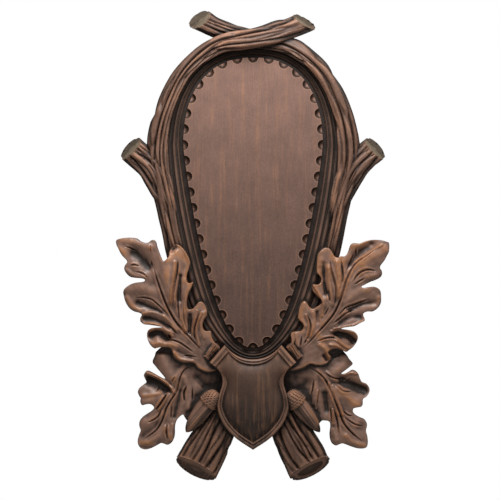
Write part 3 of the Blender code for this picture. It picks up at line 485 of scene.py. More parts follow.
class ShieldSizes(bpy.types.PropertyGroup):
    """The small shield and the acorns"""

    width: length_property("Width", 0.100, "Width across the shield's upper corners")
    height: length_property("Height", 0.105, "From the hollow of its top edge to its point")
    front: length_property("Front", -CAD_LOW[1], "How far its rim stands in front of the wall")
    back: length_property("Back", 0.012, "Where its edge begins behind")
    rim: length_property("Rim", 0.0042, "Width of its flat rim")
    rim_step: length_property("Rim step", 0.0020, "How far the field lies below the rim")
    dome: length_property("Dome", 0.0048, "How far the field swells in the middle")
    cup_radius: length_property("Cup radius", 0.0116, "Radius of an acorn's cup")
    cup_length: length_property("Cup length", 0.0165, "Length of an acorn's cup")
    nut_radius: length_property("Nut radius", 0.0104, "Radius of an acorn's nut")
    nut_length: length_property("Nut length", 0.0435, "Length of an acorn's nut")
    scale_rows: IntProperty(name="Rows of scales", default=9, min=2, description="Rows on a cup")
    scales_round: IntProperty(
        name="Scales round", default=18, min=5, description="Scales in the widest row of a cup"
    )


class FinishColours(bpy.types.PropertyGroup):
    """The stain and how it has worn"""

    # Recesses also paints the shade, and Pale and Rubbed the highlights and glints, that the hollow and
    # ridge attributes carry
    recess: colour_property("Recesses", (0.020, 0.0105, 0.0068, 1), "Stain left in the recesses")
    middle: colour_property("Middle", (0.150, 0.078, 0.050, 1), "Stain on the open surfaces")
    leaf: colour_property("Leaves", (0.285, 0.160, 0.116, 1), "Stain on the leaves and acorns")
    bark: colour_property("Bark", (0.088, 0.043, 0.027, 1), "Stain on the bark")
    butt_end: colour_property("Butt ends", (0.125, 0.058, 0.032, 1), "Stain on the butts' sawn ends")
    pale: colour_property("Pale", (0.480, 0.268, 0.185, 1), "Stain where it is worn thin")
    rubbed: colour_property("Rubbed", (0.450, 0.210, 0.105, 1), "Wood where the stain is rubbed off")
    panel: colour_property("Panel", (0.260, 0.142, 0.105, 1), "Stain on the flat panel")
    sawn: colour_property("Sawn ends", (0.195, 0.150, 0.100, 1), "Stain on the branches' sawn ends")
    roughness: share_property("Roughness", 0.42, "Dullness of the finish", highest=1.0)


class StageSizes(bpy.types.PropertyGroup):
    """The floor, the light and the camera"""

    floor_level: FloatProperty(
        name="Floor level", default=-0.95, unit="LENGTH", description="Height of the floor"
    )
    distance: length_property("Distance", 4.2, "Distance from the plaque to the camera")
    view_height: length_property("View height", 0.5825, "Height of what the camera sees at the plaque")
    key_power: FloatProperty(
        name="Key light", default=5.8, min=0, unit="POWER", description="Power of the light above"
    )
    fill_power: FloatProperty(
        name="Fill light", default=2.2, min=0, unit="POWER", description="Power of the light in front"
    )


SETTINGS = (
    ("plaque_panel", PanelSizes),
    ("plaque_branch", BranchSizes),
    ("plaque_leaf", LeafSizes),
    ("plaque_shield", ShieldSizes),
    ("plaque_finish", FinishColours),
    ("plaque_stage", StageSizes),
)


# Curves and outlines


def smooth_step(share):
    share = np.clip(share, 0, 1)
    return share * share * (3 - 2 * share)


def bump_at(value, middle, breadth):
    """1 where the value is at the middle, falling to nothing over about twice the breadth."""
    return np.exp(-(((value - middle) / breadth) ** 2))


def unit(rows):
    """The rows, or the one row, each made 1 long."""
    return rows / np.linalg.norm(rows, axis=-1, keepdims=True)


def passed_on(path):
    """The way passed along a path at each of its points."""
    return np.concatenate([[0], np.cumsum(np.linalg.norm(np.diff(path, axis=0), axis=1))])


def evenly(points, count, closed=False):
    """The polyline's points again, at even distances along it."""
    points = np.asarray(points, float)
    if closed:
        points = np.vstack([points, points[:1]])
    along = passed_on(points)
    at = np.linspace(0, along[-1], count + 1)[:-1] if closed else np.linspace(0, along[-1], count)
    return np.stack([np.interp(at, along, column) for column in points.T], axis=1)


def smooth_spans(befores, starts, ends, afters, fine):
    """Spans from each start to its end, bent by the points before and after, without the end."""
    share = np.linspace(0, 1, fine, endpoint=False)[:, None]
    spans = []
    for before, start, end, after in zip(befores, starts, ends, afters):
        bend = 2 * before - 5 * start + 4 * end - after
        twist = 3 * start - before - 3 * end + after
        spans.append(0.5 * (2 * start + (end - before) * share + bend * share**2 + twist * share**3))
    return spans


def curve_through(points, count, fine=24):
    """A smooth curve through a few points, as evenly spaced points."""
    points = np.asarray(points, float)
    padded = np.vstack([2 * points[0] - points[1], points, 2 * points[-1] - points[-2]])
    spans = smooth_spans(padded, padded[1:], padded[2:], padded[3:], fine)
    return evenly(np.vstack(spans + [points[-1:]]), count)


def closed_curve(points, fine=5):
    """A smooth closed curve through the points."""
    before, after, beyond = (np.roll(points, step, axis=0) for step in (1, -1, -2))
    return np.vstack(smooth_spans(before, points, after, beyond, fine))


def pulled_curve(handles, count):
    """A curve from the first handle to the last, pulled towards those between."""
    handles = np.asarray(handles, float)
    share = np.linspace(0, 1, count)[:, None]
    last = len(handles) - 1
    return sum(
        math.comb(last, i) * share**i * (1 - share) ** (last - i) * handle
        for i, handle in enumerate(handles)
    )


def outward_normals(outline):
    along = unit(np.roll(outline, -1, axis=0) - np.roll(outline, 1, axis=0))
    return np.stack([-along[:, 1], along[:, 0]], axis=1)


def egg(sizes, count, offset=0.0, spread=0.0):
    """The panel's outline, clockwise from its crown, moved outwards by an offset and some spread."""
    turn = np.linspace(0, math.pi / 2, 400)
    power = 2 / CROWN_FULLNESS
    crown = np.stack([np.sin(turn) ** power, sizes.crown * np.cos(turn) ** power], axis=1)
    drop = 1 - (1 - np.linspace(0, 1, 800)) ** 2
    foot = np.stack([(1 - drop**FOOT_BEND) ** FOOT_FULLNESS, -sizes.drop * drop], axis=1)
    half = np.vstack([crown, foot[1:]])
    half[:, 0] *= sizes.width / 2
    other = half[-2:0:-1] * (-1, 1)
    outline = evenly(np.vstack([half, other]) + (0, sizes.level), count, closed=True)
    from_crown = (sizes.level + sizes.crown - outline[:, 1]) / (sizes.crown + sizes.drop)
    flank = smooth_step((from_crown - 0.04) / 0.46) * smooth_step((1.02 - from_crown) / 0.18)
    normals = outward_normals(outline)
    for _ in range(2):
        normals = unit(normals + np.roll(normals, 1, axis=0) + np.roll(normals, -1, axis=0))
    return outline + normals * (offset + spread * sizes.ring_spread * flank)[:, None]


def wander(x, z, size, seed):
    """A gentle unevenness between about -1 and 1, from a few crossing waves of about that size."""
    total = 0
    for i in range(6):
        turn = seed * 2.4 + i * 2.05
        pitch = size * (0.7 + 0.17 * i)
        passed = x * math.cos(turn) + z * math.sin(turn)
        total = total + np.sin(passed * 2 * math.pi / pitch + seed + i * 1.7)
    return total / 3


# Meshes


def level_ring(outline, relief):
    return np.column_stack([outline, np.broadcast_to(relief, len(outline))])


def on_side(place, hand):
    """A place on the right-hand side, or the same place on the left-hand side."""
    return np.array(place) * (hand, 1, 1)[: len(place)]


def in_space(rows):
    """Places or directions given as (x, z, relief), as the scene's own x, y and z."""
    return np.asarray(rows, float)[:, (0, 2, 1)] * (1, -1, 1)


def new_piece(name, points, faces):
    """An object from points given as (x, z, relief)."""
    mesh = bpy.data.meshes.new(name)
    mesh.from_pydata(in_space(points).tolist(), [], faces)
    mesh.validate()
    piece = bpy.data.objects.new(name, mesh)
    bpy.context.scene.collection.objects.link(piece)
    turn_outwards(piece)
    return piece


def turn_outwards(piece, close=False):
    """Turns every face outwards, after the open edges are filled where that is asked for."""
    shape = bmesh.new()
    shape.from_mesh(piece.data)
    if close:
        open_edges = [edge for edge in shape.edges if edge.is_boundary]
        bmesh.ops.holes_fill(shape, edges=open_edges, sides=0)
    bmesh.ops.recalc_face_normals(shape, faces=shape.faces)
    shape.to_mesh(piece.data)
    shape.free()


def loft_faces(count, steps):
    """Four-cornered faces between rings of as many points each, with the end rings filled."""
    i = np.arange(count)
    j = (i + 1) % count
    rows = [
        np.column_stack([low + i, low + j, low + count + j, low + count + i])
        for low in np.arange(steps) * count
    ]
    ends = [tuple(range(count)), tuple(range(steps * count, (steps + 1) * count))]
    return np.vstack(rows).tolist() + ends


def loft(name, rings, look=None):
    """A piece through rings of as many points each, closed at both ends and with its finish."""
    piece = new_piece(name, np.vstack(rings), loft_faces(len(rings[0]), len(rings) - 1))
    if look:
        piece.data.materials.append(finish(look))
    return piece


def store(piece, name, values):
    """Gives each point of a piece a number, or a vector where the values are rows."""
    values = np.asarray(values, float)
    kind, field = ("FLOAT", "value") if values.ndim == 1 else ("FLOAT_VECTOR", "vector")
    piece.data.attributes.new(name, kind, "POINT").data.foreach_set(field, values.ravel())


def store_flags(piece, name, flags):
    layer = piece.data.attributes.new(name, "BOOLEAN", "FACE")
    layer.data.foreach_set("value", np.asarray(flags, bool))


def stored(piece, name):
    """The values of a number that each point of a piece carries."""
    values = np.zeros(len(piece.data.vertices))
    piece.data.attributes[name].data.foreach_get("value", values)
    return values


def vertex_rows(mesh, field="co"):
    """The place of each point of a mesh, or its normal, as rows of x, y and z."""
    values = np.zeros(len(mesh.vertices) * 3)
    mesh.vertices.foreach_get(field, values)
    return values.reshape(-1, 3)


def finish_piece(piece, angle=38.0, steeped=None, wear=None):
    """Smooth shading with sharp edges, and the piece's place in the plaque.

    Stain and shade says how much darker each point is painted, from more stain and from painted shade,
    and wear how much its relief is rubbed.
    """
    if wear is not None:
        piece["wear"] = wear
    x, y, z = vertex_rows(piece.data).T
    if callable(steeped):
        steeped = steeped(x, -y, z)
    store(piece, "steeped", np.zeros(len(x)) + (0 if steeped is None else steeped))
    piece.data.shade_smooth()
    piece.data.set_sharp_from_angle(angle=math.radians(angle))
    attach(piece, "root")
    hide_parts(NODE)
    piece["carved"] = True
    return piece


# Nodes


def feed(tree, socket, value):
    if isinstance(value, bpy.types.NodeSocket):
        tree.links.new(value, socket)
    else:
        socket.default_value = value


def add_node(tree, kind, inputs=None, **options):
    node = tree.nodes.new(kind)
    for name, value in options.items():
        setattr(node, name, value)
    for name, value in (inputs or {}).items():
        feed(tree, node.inputs[name], value)
    return node


def calc(tree, operation, *values, clamp=False):
    node = add_node(tree, "ShaderNodeMath", operation=operation, use_clamp=clamp)
    for socket, value in zip(node.inputs, values):
        feed(tree, socket, value)
    return node.outputs[0]


def centred(tree, value, gain, clamp=False):
    """A value between 0 and 1, moved to lie about 0 and then multiplied."""
    return calc(tree, "MULTIPLY", calc(tree, "SUBTRACT", value, 0.5), gain, clamp=clamp)


def noise(tree, place, scale, detail=2.0, roughness=0.5, distortion=0.0, seed=None):
    """The value of a noise texture, which has a fourth dimension where it has a seed."""
    inputs = {
        "Vector": place,
        "Scale": scale,
        "Detail": detail,
        "Roughness": roughness,
        "Distortion": distortion,
    }
    if seed is None:
        return add_node(tree, "ShaderNodeTexNoise", inputs).outputs[0]
    inputs["W"] = seed
    return add_node(tree, "ShaderNodeTexNoise", inputs, noise_dimensions="4D").outputs[0]


def mixed(tree, share, first, second, blend="MIX"):
    """Two colours mixed by a share of the second."""
    colours = {0: share, 6: first, 7: second}
    node = add_node(tree, "ShaderNodeMix", colours, data_type="RGBA", blend_type=blend)
    return node.outputs[2]


def attribute(tree, name, kind="FLOAT"):
    node = add_node(tree, "GeometryNodeInputNamedAttribute", {"Name": name}, data_type=kind)
    return node.outputs["Attribute"]


def new_tree(name, kind, inputs, outputs):
    """A node tree or group with named inputs and outputs, listed by their kinds."""
    tree = bpy.data.node_groups.new(name, kind)
    for direction, sockets in (("INPUT", inputs), ("OUTPUT", outputs)):
        for socket, labels in sockets.items():
            for label in labels:
                tree.interface.new_socket(
                    name=label, in_out=direction, socket_type="NodeSocket" + socket
                )
    entry = tree.nodes.new("NodeGroupInput")
    result = tree.nodes.new("NodeGroupOutput")
    return tree, entry.outputs, result


def new_geometry_tree(name, **inputs):
    geometry = {"Geometry": ["Geometry"]}
    return new_tree(name, "GeometryNodeTree", geometry | inputs, geometry)


def moved(tree, geometry, offset):
    """The geometry with every point moved by an offset."""
    inputs = {"Geometry": geometry, "Offset": offset}
    return add_node(tree, "GeometryNodeSetPosition", inputs).outputs["Geometry"]


def end_tree(tree, result, geometry, coats):
    """Ends a tree with Realize Instances and a Set Material for each (material, selection)."""
    realized = add_node(tree, "GeometryNodeRealizeInstances", {"Geometry": geometry})
    geometry = realized.outputs["Geometry"]
    for material, selection in coats:
        coat = {"Geometry": geometry, "Material": material}
        node = add_node(tree, "GeometryNodeSetMaterial", coat)
        if selection is not None:
            feed(tree, node.inputs["Selection"], selection)
        geometry = node.outputs["Geometry"]
    tree.links.new(geometry, result.inputs["Geometry"])
    return tree


def apply_tree(piece, tree, values):
    """Runs a geometry node tree on a piece with its inputs set, and keeps a plain mesh of it."""
    modifier = piece.modifiers.new(tree.name, "NODES")
    modifier.node_group = tree
    for item in tree.interface.items_tree:
        if item.in_out == "INPUT" and item.name in values:
            modifier[item.identifier] = values[item.name]
    bpy.context.view_layer.update()
    depsgraph = bpy.context.evaluated_depsgraph_get()
    mesh = bpy.data.meshes.new_from_object(
        piece.evaluated_get(depsgraph), preserve_all_data_layers=True, depsgraph=depsgraph
    )
    piece.modifiers.clear()
    old = piece.data
    piece.data = mesh
    bpy.data.meshes.remove(old)
    return piece


def scallop_tree():
    """Sinks the panel's edge into a row of gouge cuts, each a quarter of a bowl."""
    tree, entry, result = new_geometry_tree(
        "scalloped_edge",
        Float=("Cut Width", "Cut Length", "Cut Depth", "Pitch"),
        Material=["Material"],
    )
    maths = partial(calc, tree)
    around = attribute(tree, "around")
    inset = attribute(tree, "inset")
    sink = attribute(tree, "sink")
    across = maths("MULTIPLY", maths("SUBTRACT", maths("FRACT", around), 0.5), entry["Pitch"])
    across = maths("DIVIDE", maths("MULTIPLY", across, 2.0), entry["Cut Width"])
    inwards = maths("DIVIDE", inset, entry["Cut Length"])
    squares = (maths("POWER", maths("ABSOLUTE", across), 2.0), maths("POWER", inwards, 2.0))
    left_over = maths("SUBTRACT", 1.0, maths("ADD", *squares))
    bowl = maths("SQRT", maths("MAXIMUM", left_over, 0.0))
    depth = maths("MULTIPLY", maths("MULTIPLY", bowl, entry["Cut Depth"]), sink)
    offset = add_node(tree, "ShaderNodeCombineXYZ", {"Y": depth}).outputs["Vector"]
    placed = moved(tree, entry["Geometry"], offset)
    return end_tree(tree, result, placed, [(entry["Material"], None)])


def bark_tree():
    """Cuts long wandering bark grooves into a branch, along its own length."""
    tree, entry, result = new_geometry_tree(
        "bark",
        Float=("Groove Depth", "Groove Pitch", "Ridges"),
        Int=["Seed"],
        Material=("Bark Material", "Sawn Material"),
    )
    maths = partial(calc, tree)
    place = attribute(tree, "bark_place", "FLOAT_VECTOR")
    barked = attribute(tree, "barked")
    scale = maths("DIVIDE", 0.62, entry["Groove Pitch"])
    seed = maths("MULTIPLY", entry["Seed"], 3.7)
    coarse = noise(tree, place, scale, 1.0, distortion=0.5, seed=seed)
    fine = noise(tree, place, maths("MULTIPLY", scale, 2.9), seed=seed)
    other_seed = maths("ADD", seed, 20.0)
    drift = noise(tree, place, maths("MULTIPLY", scale, 0.4), seed=other_seed)
    phase = maths("MULTIPLY", attribute(tree, "bark_turn"), entry["Ridges"])
    phase = maths("ADD", phase, maths("MULTIPLY", drift, 5.2))
    wave = maths("ABSOLUTE", maths("SINE", maths("MULTIPLY", phase, math.pi)))
    ridge = maths("POWER", maths("SUBTRACT", 1.0, wave), 2.6)
    ridge = maths("MULTIPLY", ridge, maths("ADD", 0.35, maths("MULTIPLY", coarse, 2.4)))
    folded = maths("ABSOLUTE", maths("SUBTRACT", coarse, 0.5))
    groove = maths("SUBTRACT", 1.0, maths("DIVIDE", folded, 0.07), clamp=True)
    groove = maths("MULTIPLY", maths("POWER", groove, 1.3), 0.75)
    height = maths("SUBTRACT", centred(tree, fine, 0.55), maths("ADD", groove, ridge))
    height = maths("MULTIPLY", height, maths("MULTIPLY", barked, entry["Groove Depth"]))
    normal = attribute(tree, "outwards", "FLOAT_VECTOR")
    offset = add_node(tree, "ShaderNodeVectorMath", {0: normal, "Scale": height}, operation="SCALE")
    placed = moved(tree, entry["Geometry"], offset.outputs["Vector"])
    sawn = attribute(tree, "sawn", "BOOLEAN")
    coats = [(entry["Bark Material"], None), (entry["Sawn Material"], sawn)]
    return end_tree(tree, result, placed, coats)


def scales_tree():
    """Sets a small rounded scale on every point of an acorn's cup, turned along its surface."""
    tree, entry, result = new_geometry_tree(
        "cup_scales",
        Float=("Scale Length", "Scale Width", "Thickness"),
        Material=["Material"],
    )
    ball = add_node(
        tree, "GeometryNodeMeshUVSphere", {"Segments": 8, "Rings": 5, "Radius": 0.5}
    ).outputs["Mesh"]
    size = add_node(
        tree,
        "ShaderNodeCombineXYZ",
        {"X": entry["Scale Width"], "Y": entry["Scale Length"], "Z": entry["Thickness"]},
    ).outputs["Vector"]
    shaped = add_node(tree, "GeometryNodeTransform", {"Geometry": ball, "Scale": size})
    upright = add_node(
        tree,
        "FunctionNodeAlignRotationToVector",
        {"Vector": attribute(tree, "outwards", "FLOAT_VECTOR")},
        axis="Z",
    ).outputs["Rotation"]
    turned_scale = add_node(
        tree,
        "FunctionNodeAlignRotationToVector",
        {"Rotation": upright, "Vector": attribute(tree, "lengthwise", "FLOAT_VECTOR")},
        axis="Y",
        pivot_axis="Z",
    ).outputs["Rotation"]
    points = add_node(
        tree, "GeometryNodeMeshToPoints", {"Mesh": entry["Geometry"]}, mode="VERTICES"
    ).outputs["Points"]
    placed = add_node(
        tree,
        "GeometryNodeInstanceOnPoints",
        {
            "Points": points,
            "Instance": shaped.outputs["Geometry"],
            "Rotation": turned_scale,
            "Scale": attribute(tree, "shrink"),
        },
    )
    return end_tree(tree, result, placed.outputs["Instances"], [(entry["Material"], None)])


# Finishes


def stain_group():
    """Stain that stays dark in the recesses and is rubbed off the ridges, over a streaky grain. The
    Hollow input also carries painted shade and the Ridge input painted highlights.
    """
    group, entry, result = new_tree(
        "worn_stain",
        "ShaderNodeTree",
        {
            "Color": ("Recess", "Middle", "Pale", "Rubbed"),
            "Float": ("Hollow", "Ridge", "Grain", "Streaks", "Roughness"),
            "Vector": ["Grain Place"],
        },
        {"Color": ["Colour"], "Float": ("Roughness", "Height")},
    )
    maths = partial(calc, group)
    place = add_node(group, "ShaderNodeTexCoord").outputs["Object"]
    blotch = noise(group, place, 38.0, 4.0, 0.6)
    speck = noise(group, place, 420.0, 3.0, 0.6)
    grain = noise(group, entry["Grain Place"], 900.0, 3.0, 0.55)
    fleck = noise(group, entry["Grain Place"], 260.0, 4.0, 0.6)
    fleck = maths("MULTIPLY", centred(group, fleck, 5.0, clamp=True), blotch)
    fleck = maths("MULTIPLY", fleck, entry["Streaks"])
    patchy = maths("ADD", 0.35, maths("MULTIPLY", blotch, 1.3))
    speckled = maths("ADD", 0.55, maths("MULTIPLY", speck, 0.9))
    wear = maths("MULTIPLY", maths("MULTIPLY", entry["Ridge"], patchy), speckled, clamp=True)
    paler = maths("MULTIPLY", maths("MULTIPLY", wear, 2.0, clamp=True), 0.85)
    bare = maths("SUBTRACT", maths("MULTIPLY", wear, 2.0), 0.88, clamp=True)
    bare = maths("ADD", bare, fleck, clamp=True)
    dark = maths("ADD", entry["Hollow"], centred(group, speck, 0.5), clamp=True)
    colour = mixed(group, dark, entry["Middle"], entry["Recess"])
    colour = mixed(group, paler, colour, entry["Pale"])
    colour = mixed(group, bare, colour, entry["Rubbed"])
    streak = centred(group, grain, entry["Grain"])
    bright = maths("ADD", 1.0, maths("ADD", streak, centred(group, blotch, 0.7)))
    colour = mixed(group, 1.0, colour, bright, "MULTIPLY")
    rough = maths("ADD", entry["Roughness"], centred(group, speck, 0.25))
    rough = maths("ADD", rough, maths("MULTIPLY", entry["Hollow"], 0.22), clamp=True)
    height = maths("ADD", maths("MULTIPLY", speck, 0.6), maths("MULTIPLY", grain, entry["Grain"]))
    for label, value in (("Colour", colour), ("Roughness", rough), ("Height", height)):
        group.links.new(value, result.inputs[label])
    return group


# A finish names its colour, and says how strong its grain and its fine bump are, how much duller it
# is than the others, how much it answers to hollows and to worn ridges, with the painted shade and
# painted highlights that they carry, what its grain runs by, and how streaky it is.
Finish = namedtuple(
    "Finish",
    "colour grain bump dulled hollow_gain ridge_gain run streaks",
    defaults=(1.0, 1.0, "Object", 0.0),
)
FINISHES = {
    "panel_wood": Finish("panel", 0.55, 0.25, 0.1, 0.9, 0.8, "Object", 0.5),
    "sawn_wood": Finish("sawn", 0.9, 0.6, 0.2, 0.6, 0.1),
    "end_wood": Finish("butt_end", 0.5, 0.6, 0.22, 0.5, 0.5),
    "shield_wood": Finish("middle", 0.5, 0.45, 0.02, 1.0, 0.85, "Object", 0.7),
    "bark_wood": Finish("bark", 0.7, 0.9, 0.0, 1.25, 0.60, "bark_place"),
    "leaf_wood": Finish("leaf", 0.6, 0.7, -0.10, 1.5, 1.0, "fibre"),
    "carved_wood": Finish("middle", 0.25, 0.35, 0.0),
}
GRAIN_STRETCH = 0.055
BUMP_HEIGHT = 0.0003
PALE_SHARE = 0.55


def finish(name):
    """A stained finish that reads each piece's own hollow and ridge, made when first asked for."""
    if name in bpy.data.materials:
        return bpy.data.materials[name]
    look = FINISHES[name]
    colours = bpy.context.scene.plaque_finish
    middle = getattr(colours, look.colour)
    material = bpy.data.materials.new(name)
    material.use_nodes = True
    tree = material.node_tree
    shader = tree.nodes["Principled BSDF"]
    group = bpy.data.node_groups.get("worn_stain") or stain_group()
    hollow = add_node(tree, "ShaderNodeAttribute", attribute_name="hollow").outputs["Fac"]
    ridge = add_node(tree, "ShaderNodeAttribute", attribute_name="ridge").outputs["Fac"]
    if look.run == "Object":
        place = add_node(tree, "ShaderNodeTexCoord").outputs["Object"]
        upright = {"Vector": place, "Scale": (1.0, 1.0, GRAIN_STRETCH)}
        place = add_node(tree, "ShaderNodeMapping", upright).outputs["Vector"]
    else:
        place = add_node(tree, "ShaderNodeAttribute", attribute_name=look.run).outputs["Vector"]
    both = zip(middle, colours.pale)
    values = {
        "Recess": colours.recess[:],
        "Middle": middle[:],
        "Pale": tuple((1 - PALE_SHARE) * part + PALE_SHARE * pale for part, pale in both),
        "Rubbed": colours.rubbed[:],
        "Hollow": calc(tree, "MULTIPLY", hollow, look.hollow_gain, clamp=True),
        "Ridge": calc(tree, "MULTIPLY", ridge, look.ridge_gain, clamp=True),
        "Grain": look.grain,
        "Grain Place": place,
        "Streaks": look.streaks,
        "Roughness": colours.roughness + look.dulled,
    }
    stain = add_node(tree, "ShaderNodeGroup", values, node_tree=group).outputs
    relief = {"Strength": look.bump, "Distance": BUMP_HEIGHT, "Height": stain["Height"]}
    normal = add_node(tree, "ShaderNodeBump", relief).outputs["Normal"]
    feed(tree, shader.inputs["Base Color"], stain["Colour"])
    feed(tree, shader.inputs["Roughness"], stain["Roughness"])
    feed(tree, shader.inputs["Normal"], normal)
    feed(tree, shader.inputs["Specular IOR Level"], 0.5)
    return material


# Board, ring and panel


def make_board(sizes):
    """The board behind everything, with the moulded ring round the panel's foot."""
    edge = sizes.ring_width + sizes.lap
    width = sizes.ring_width
    steps = [
        (edge - 0.003, 1, 0),
        (edge, 1, 0.003),
        (edge, 1, RING_FLOOR),
        (width * 1.10, 1, RING_BEAD),
        (width * 1.00, 1, RING_BEAD + 0.0014),
        (width * 0.93, 0.92, RING_BEAD + 0.0017),
        (width * 0.87, 0.82, RING_BEAD + 0.0012),
        (width * 0.83, 0.74, RING_BEAD - 0.0010),
        (width * 0.79, 0.67, RING_BEAD - 0.0014),
        (width * 0.74, 0.60, RING_BEAD + 0.0001),
        (width * 0.68, 0.52, RING_BEAD + 0.0003),
        (width * 0.62, 0.44, RING_BEAD - 0.0004),
        (width * 0.58, 0.37, RING_BEAD - 0.0026),
        (width * 0.52, 0.30, RING_BEAD - 0.0027),
        (width * 0.46, 0.23, RING_BEAD - 0.0018),
        (width * 0.40, 0.17, RING_BEAD - 0.0022),
        (width * 0.34, 0.13, RING_FLOOR),
        (width * 0.24, 0.10, RING_FLOOR - 0.0008),
        (width * 0.10, 0.04, RING_FLOOR - 0.0006),
        (-0.002, 0, RING_FLOOR),
        (-0.010, 0, RING_FLOOR),
    ]
    rings = [level_ring(egg(sizes, 560, out, spread), relief) for out, spread, relief in steps]
    piece = loft("moulded_board", rings, "carved_wood")
    groove_level = RING_BEAD - 0.0012
    return finish_piece(
        piece, steeped=lambda x, relief, z: np.where(relief < groove_level, 0.75, 0.5), wear=0.22
    )


def gouge_glint_shade_and_edge(across, inset, length):
    """Painted light round a gouge cut: a painted glint in its middle, painted shade inside its rim, and
    a pale line round its edge.

    Across is a share of the cut's half width. Inset is measured in from the panel's edge, as the
    cut's length is.
    """
    inwards = inset / length
    reach = np.hypot(across, inwards)
    glint = 0.85 * bump_at(across, 0, 0.34) * bump_at(inwards, 0.16, 0.26)
    inside = glint - 1.1 * bump_at(reach, 0.86, 0.16)
    outside = 0.8 * bump_at(reach, 1.08, 0.06) + 0.5 * bump_at(inset, 0, 0.0007)
    return np.where(reach < 1, inside, outside)


def make_panel(sizes):
    """The raised panel: a fan of points whose edge the gouge cuts are sunk into."""
    around = egg(sizes, 2000)
    length = np.linalg.norm(around - np.roll(around, 1, axis=0), axis=1).sum()
    cuts = round(length / sizes.gouge_pitch)
    count = cuts * POINTS_PER_CUT
    face_insets = np.linspace(0.0006, sizes.gouge_length + 0.0010, 22)
    rings, insets, sinks = [], [], []
    for relief in (RING_FLOOR - 0.002, RING_FLOOR + 0.0004):
        rings.append(level_ring(egg(sizes, count), relief))
        insets.append(0.0)
        sinks.append(0.0)
    for inset in (0.0, 0.00025, *face_insets):
        drop = 0.00035 if inset == 0 else 0.0
        rings.append(level_ring(egg(sizes, count, -inset), sizes.relief - drop))
        insets.append(inset)
        sinks.append(1.0)
    edge = rings[-1]
    middle = np.array([0, sizes.level - 0.05, sizes.relief])
    for part in (0.97, 0.93, 0.87, 0.79, 0.69, 0.57, 0.44, 0.30, 0.16, 0.05):
        rings.append(middle + (edge - middle) * part)
        insets.append(1.0)
        sinks.append(0.0)
    turns = np.tile(np.arange(count) / count * cuts + 0.5, len(rings))
    insets, sinks = np.repeat(insets, count), np.repeat(sinks, count)
    piece = loft("panel", rings)
    store(piece, "around", turns)
    store(piece, "inset", insets)
    store(piece, "sink", sinks)
    pitch = length / cuts
    values = {
        "Cut Width": sizes.gouge_width,
        "Cut Length": sizes.gouge_length,
        "Cut Depth": sizes.gouge_depth,
        "Pitch": pitch,
        "Material": finish("panel_wood"),
    }
    apply_tree(piece, scallop_tree(), values)
    across = (turns % 1 - 0.5) * pitch * 2 / sizes.gouge_width
    # Painted glints and painted shade in the gouge cuts, and a pale line round their edges
    rub = gouge_glint_shade_and_edge(across, insets, sizes.gouge_length)
    store(piece, "rub", rub * (insets < 1) * sinks)
    top = sizes.level + sizes.crown
    height = sizes.crown + sizes.drop

    # Painted shade: the panel is painted darker towards its foot, as if lit from above
    def darker_below(x, relief, z):
        return 0.66 * np.clip((top - z) / height, 0, 1) ** 1.05

    return finish_piece(piece, 32, steeped=darker_below, wear=0.0)


# Branches


def end_relief(share, inset):
    """How far a sawn end stands out at a share of its breadth, over its flat.

    It has slight saw marks, and an inset one has a raised rim round a sunk oval.
    """
    relief = 0.0003 * math.sin(share * 40) if share < 0.95 else 0.0
    if inset:
        relief += 0.0010 * bump_at(share, 0.70, 0.045) - 0.0016 * smooth_step((0.66 - share) / 0.08)
    return relief


def barked_tube(name, path, half_widths, half_heights, depths, slant=CUT_SLANT, stretch=9.0,
                around=96, skew=0.0, inset=False):
    """A tube along a path of (x, z, relief) with a saw cut at its end, and places for its bark.

    Half heights are in front of the path and depths behind it. Slant turns the cut to the front and
    skew turns it sideways, and stretch draws the grain out lengthwise.
    """
    path = np.asarray(path, float)
    depths = np.minimum(depths, path[:, 2] - WALL_GAP)
    count = len(path)
    along = unit(np.gradient(path, axis=0))
    side = unit(np.cross(along, (0, 0, 1)))
    front = np.cross(side, along)
    passed = passed_on(path)
    turn = np.linspace(0, 2 * math.pi, around, endpoint=False)
    cosine, sine = np.cos(turn)[:, None], np.sin(turn)[:, None]
    cut_span = (half_heights[-1] + depths[-1]) * slant * 1.4 + abs(skew) * half_widths[-1] * 2.2
    rings, places, outwards, barked = [], [], [], []
    for i in range(count):
        heights = np.where(sine > 0, half_heights[i], depths[i])
        offset = half_widths[i] * cosine * side[i] + heights * sine * front[i]
        near_cut = smooth_step((passed[i] - (passed[-1] - cut_span)) / cut_span)
        lean = skew * half_widths[i] * cosine - slant * heights * sine
        rings.append(path[i] + offset + near_cut * lean * along[i])
        lengthwise = np.full(around, passed[i] / stretch)
        places.append(np.column_stack([half_widths[i] * cosine, heights * sine, lengthwise]))
        facing = cosine * side[i] * half_heights[i] + sine * front[i] * half_widths[i]
        outwards.append(unit(facing))
        barked.append(min(1.0, (passed[-1] - passed[i]) / 0.003 + 0.55))
    end = rings[-1]
    middle = end.mean(axis=0)
    for share in END_SHARES:
        rings.append(middle + (end - middle) * share + along[-1] * end_relief(share, inset))
        places.append(places[count - 1])
        outwards.append(outwards[count - 1])
        barked.append(0.5 if share > 0.9 else 0.0)
    piece = loft(name, rings)
    store(piece, "bark_turn", np.tile(turn / (2 * math.pi), len(rings)))
    store(piece, "bark_place", np.vstack(places))
    store(piece, "outwards", in_space(np.vstack(outwards)))
    store(piece, "barked", np.repeat(barked, around))
    barked_faces, sawn_faces = (count - 1) * around, len(END_SHARES) * around
    store_flags(piece, "sawn", [False] * barked_faces + [True] * sawn_faces + [False, True])
    if inset:
        rim = np.zeros(len(rings))
        rim[count + 3 : count + 7] = 0.5, 0.9, 0.9, 0.4
        rim[count + 8 :] = -0.25
        store(piece, "rub", np.repeat(rim, around))
    return piece


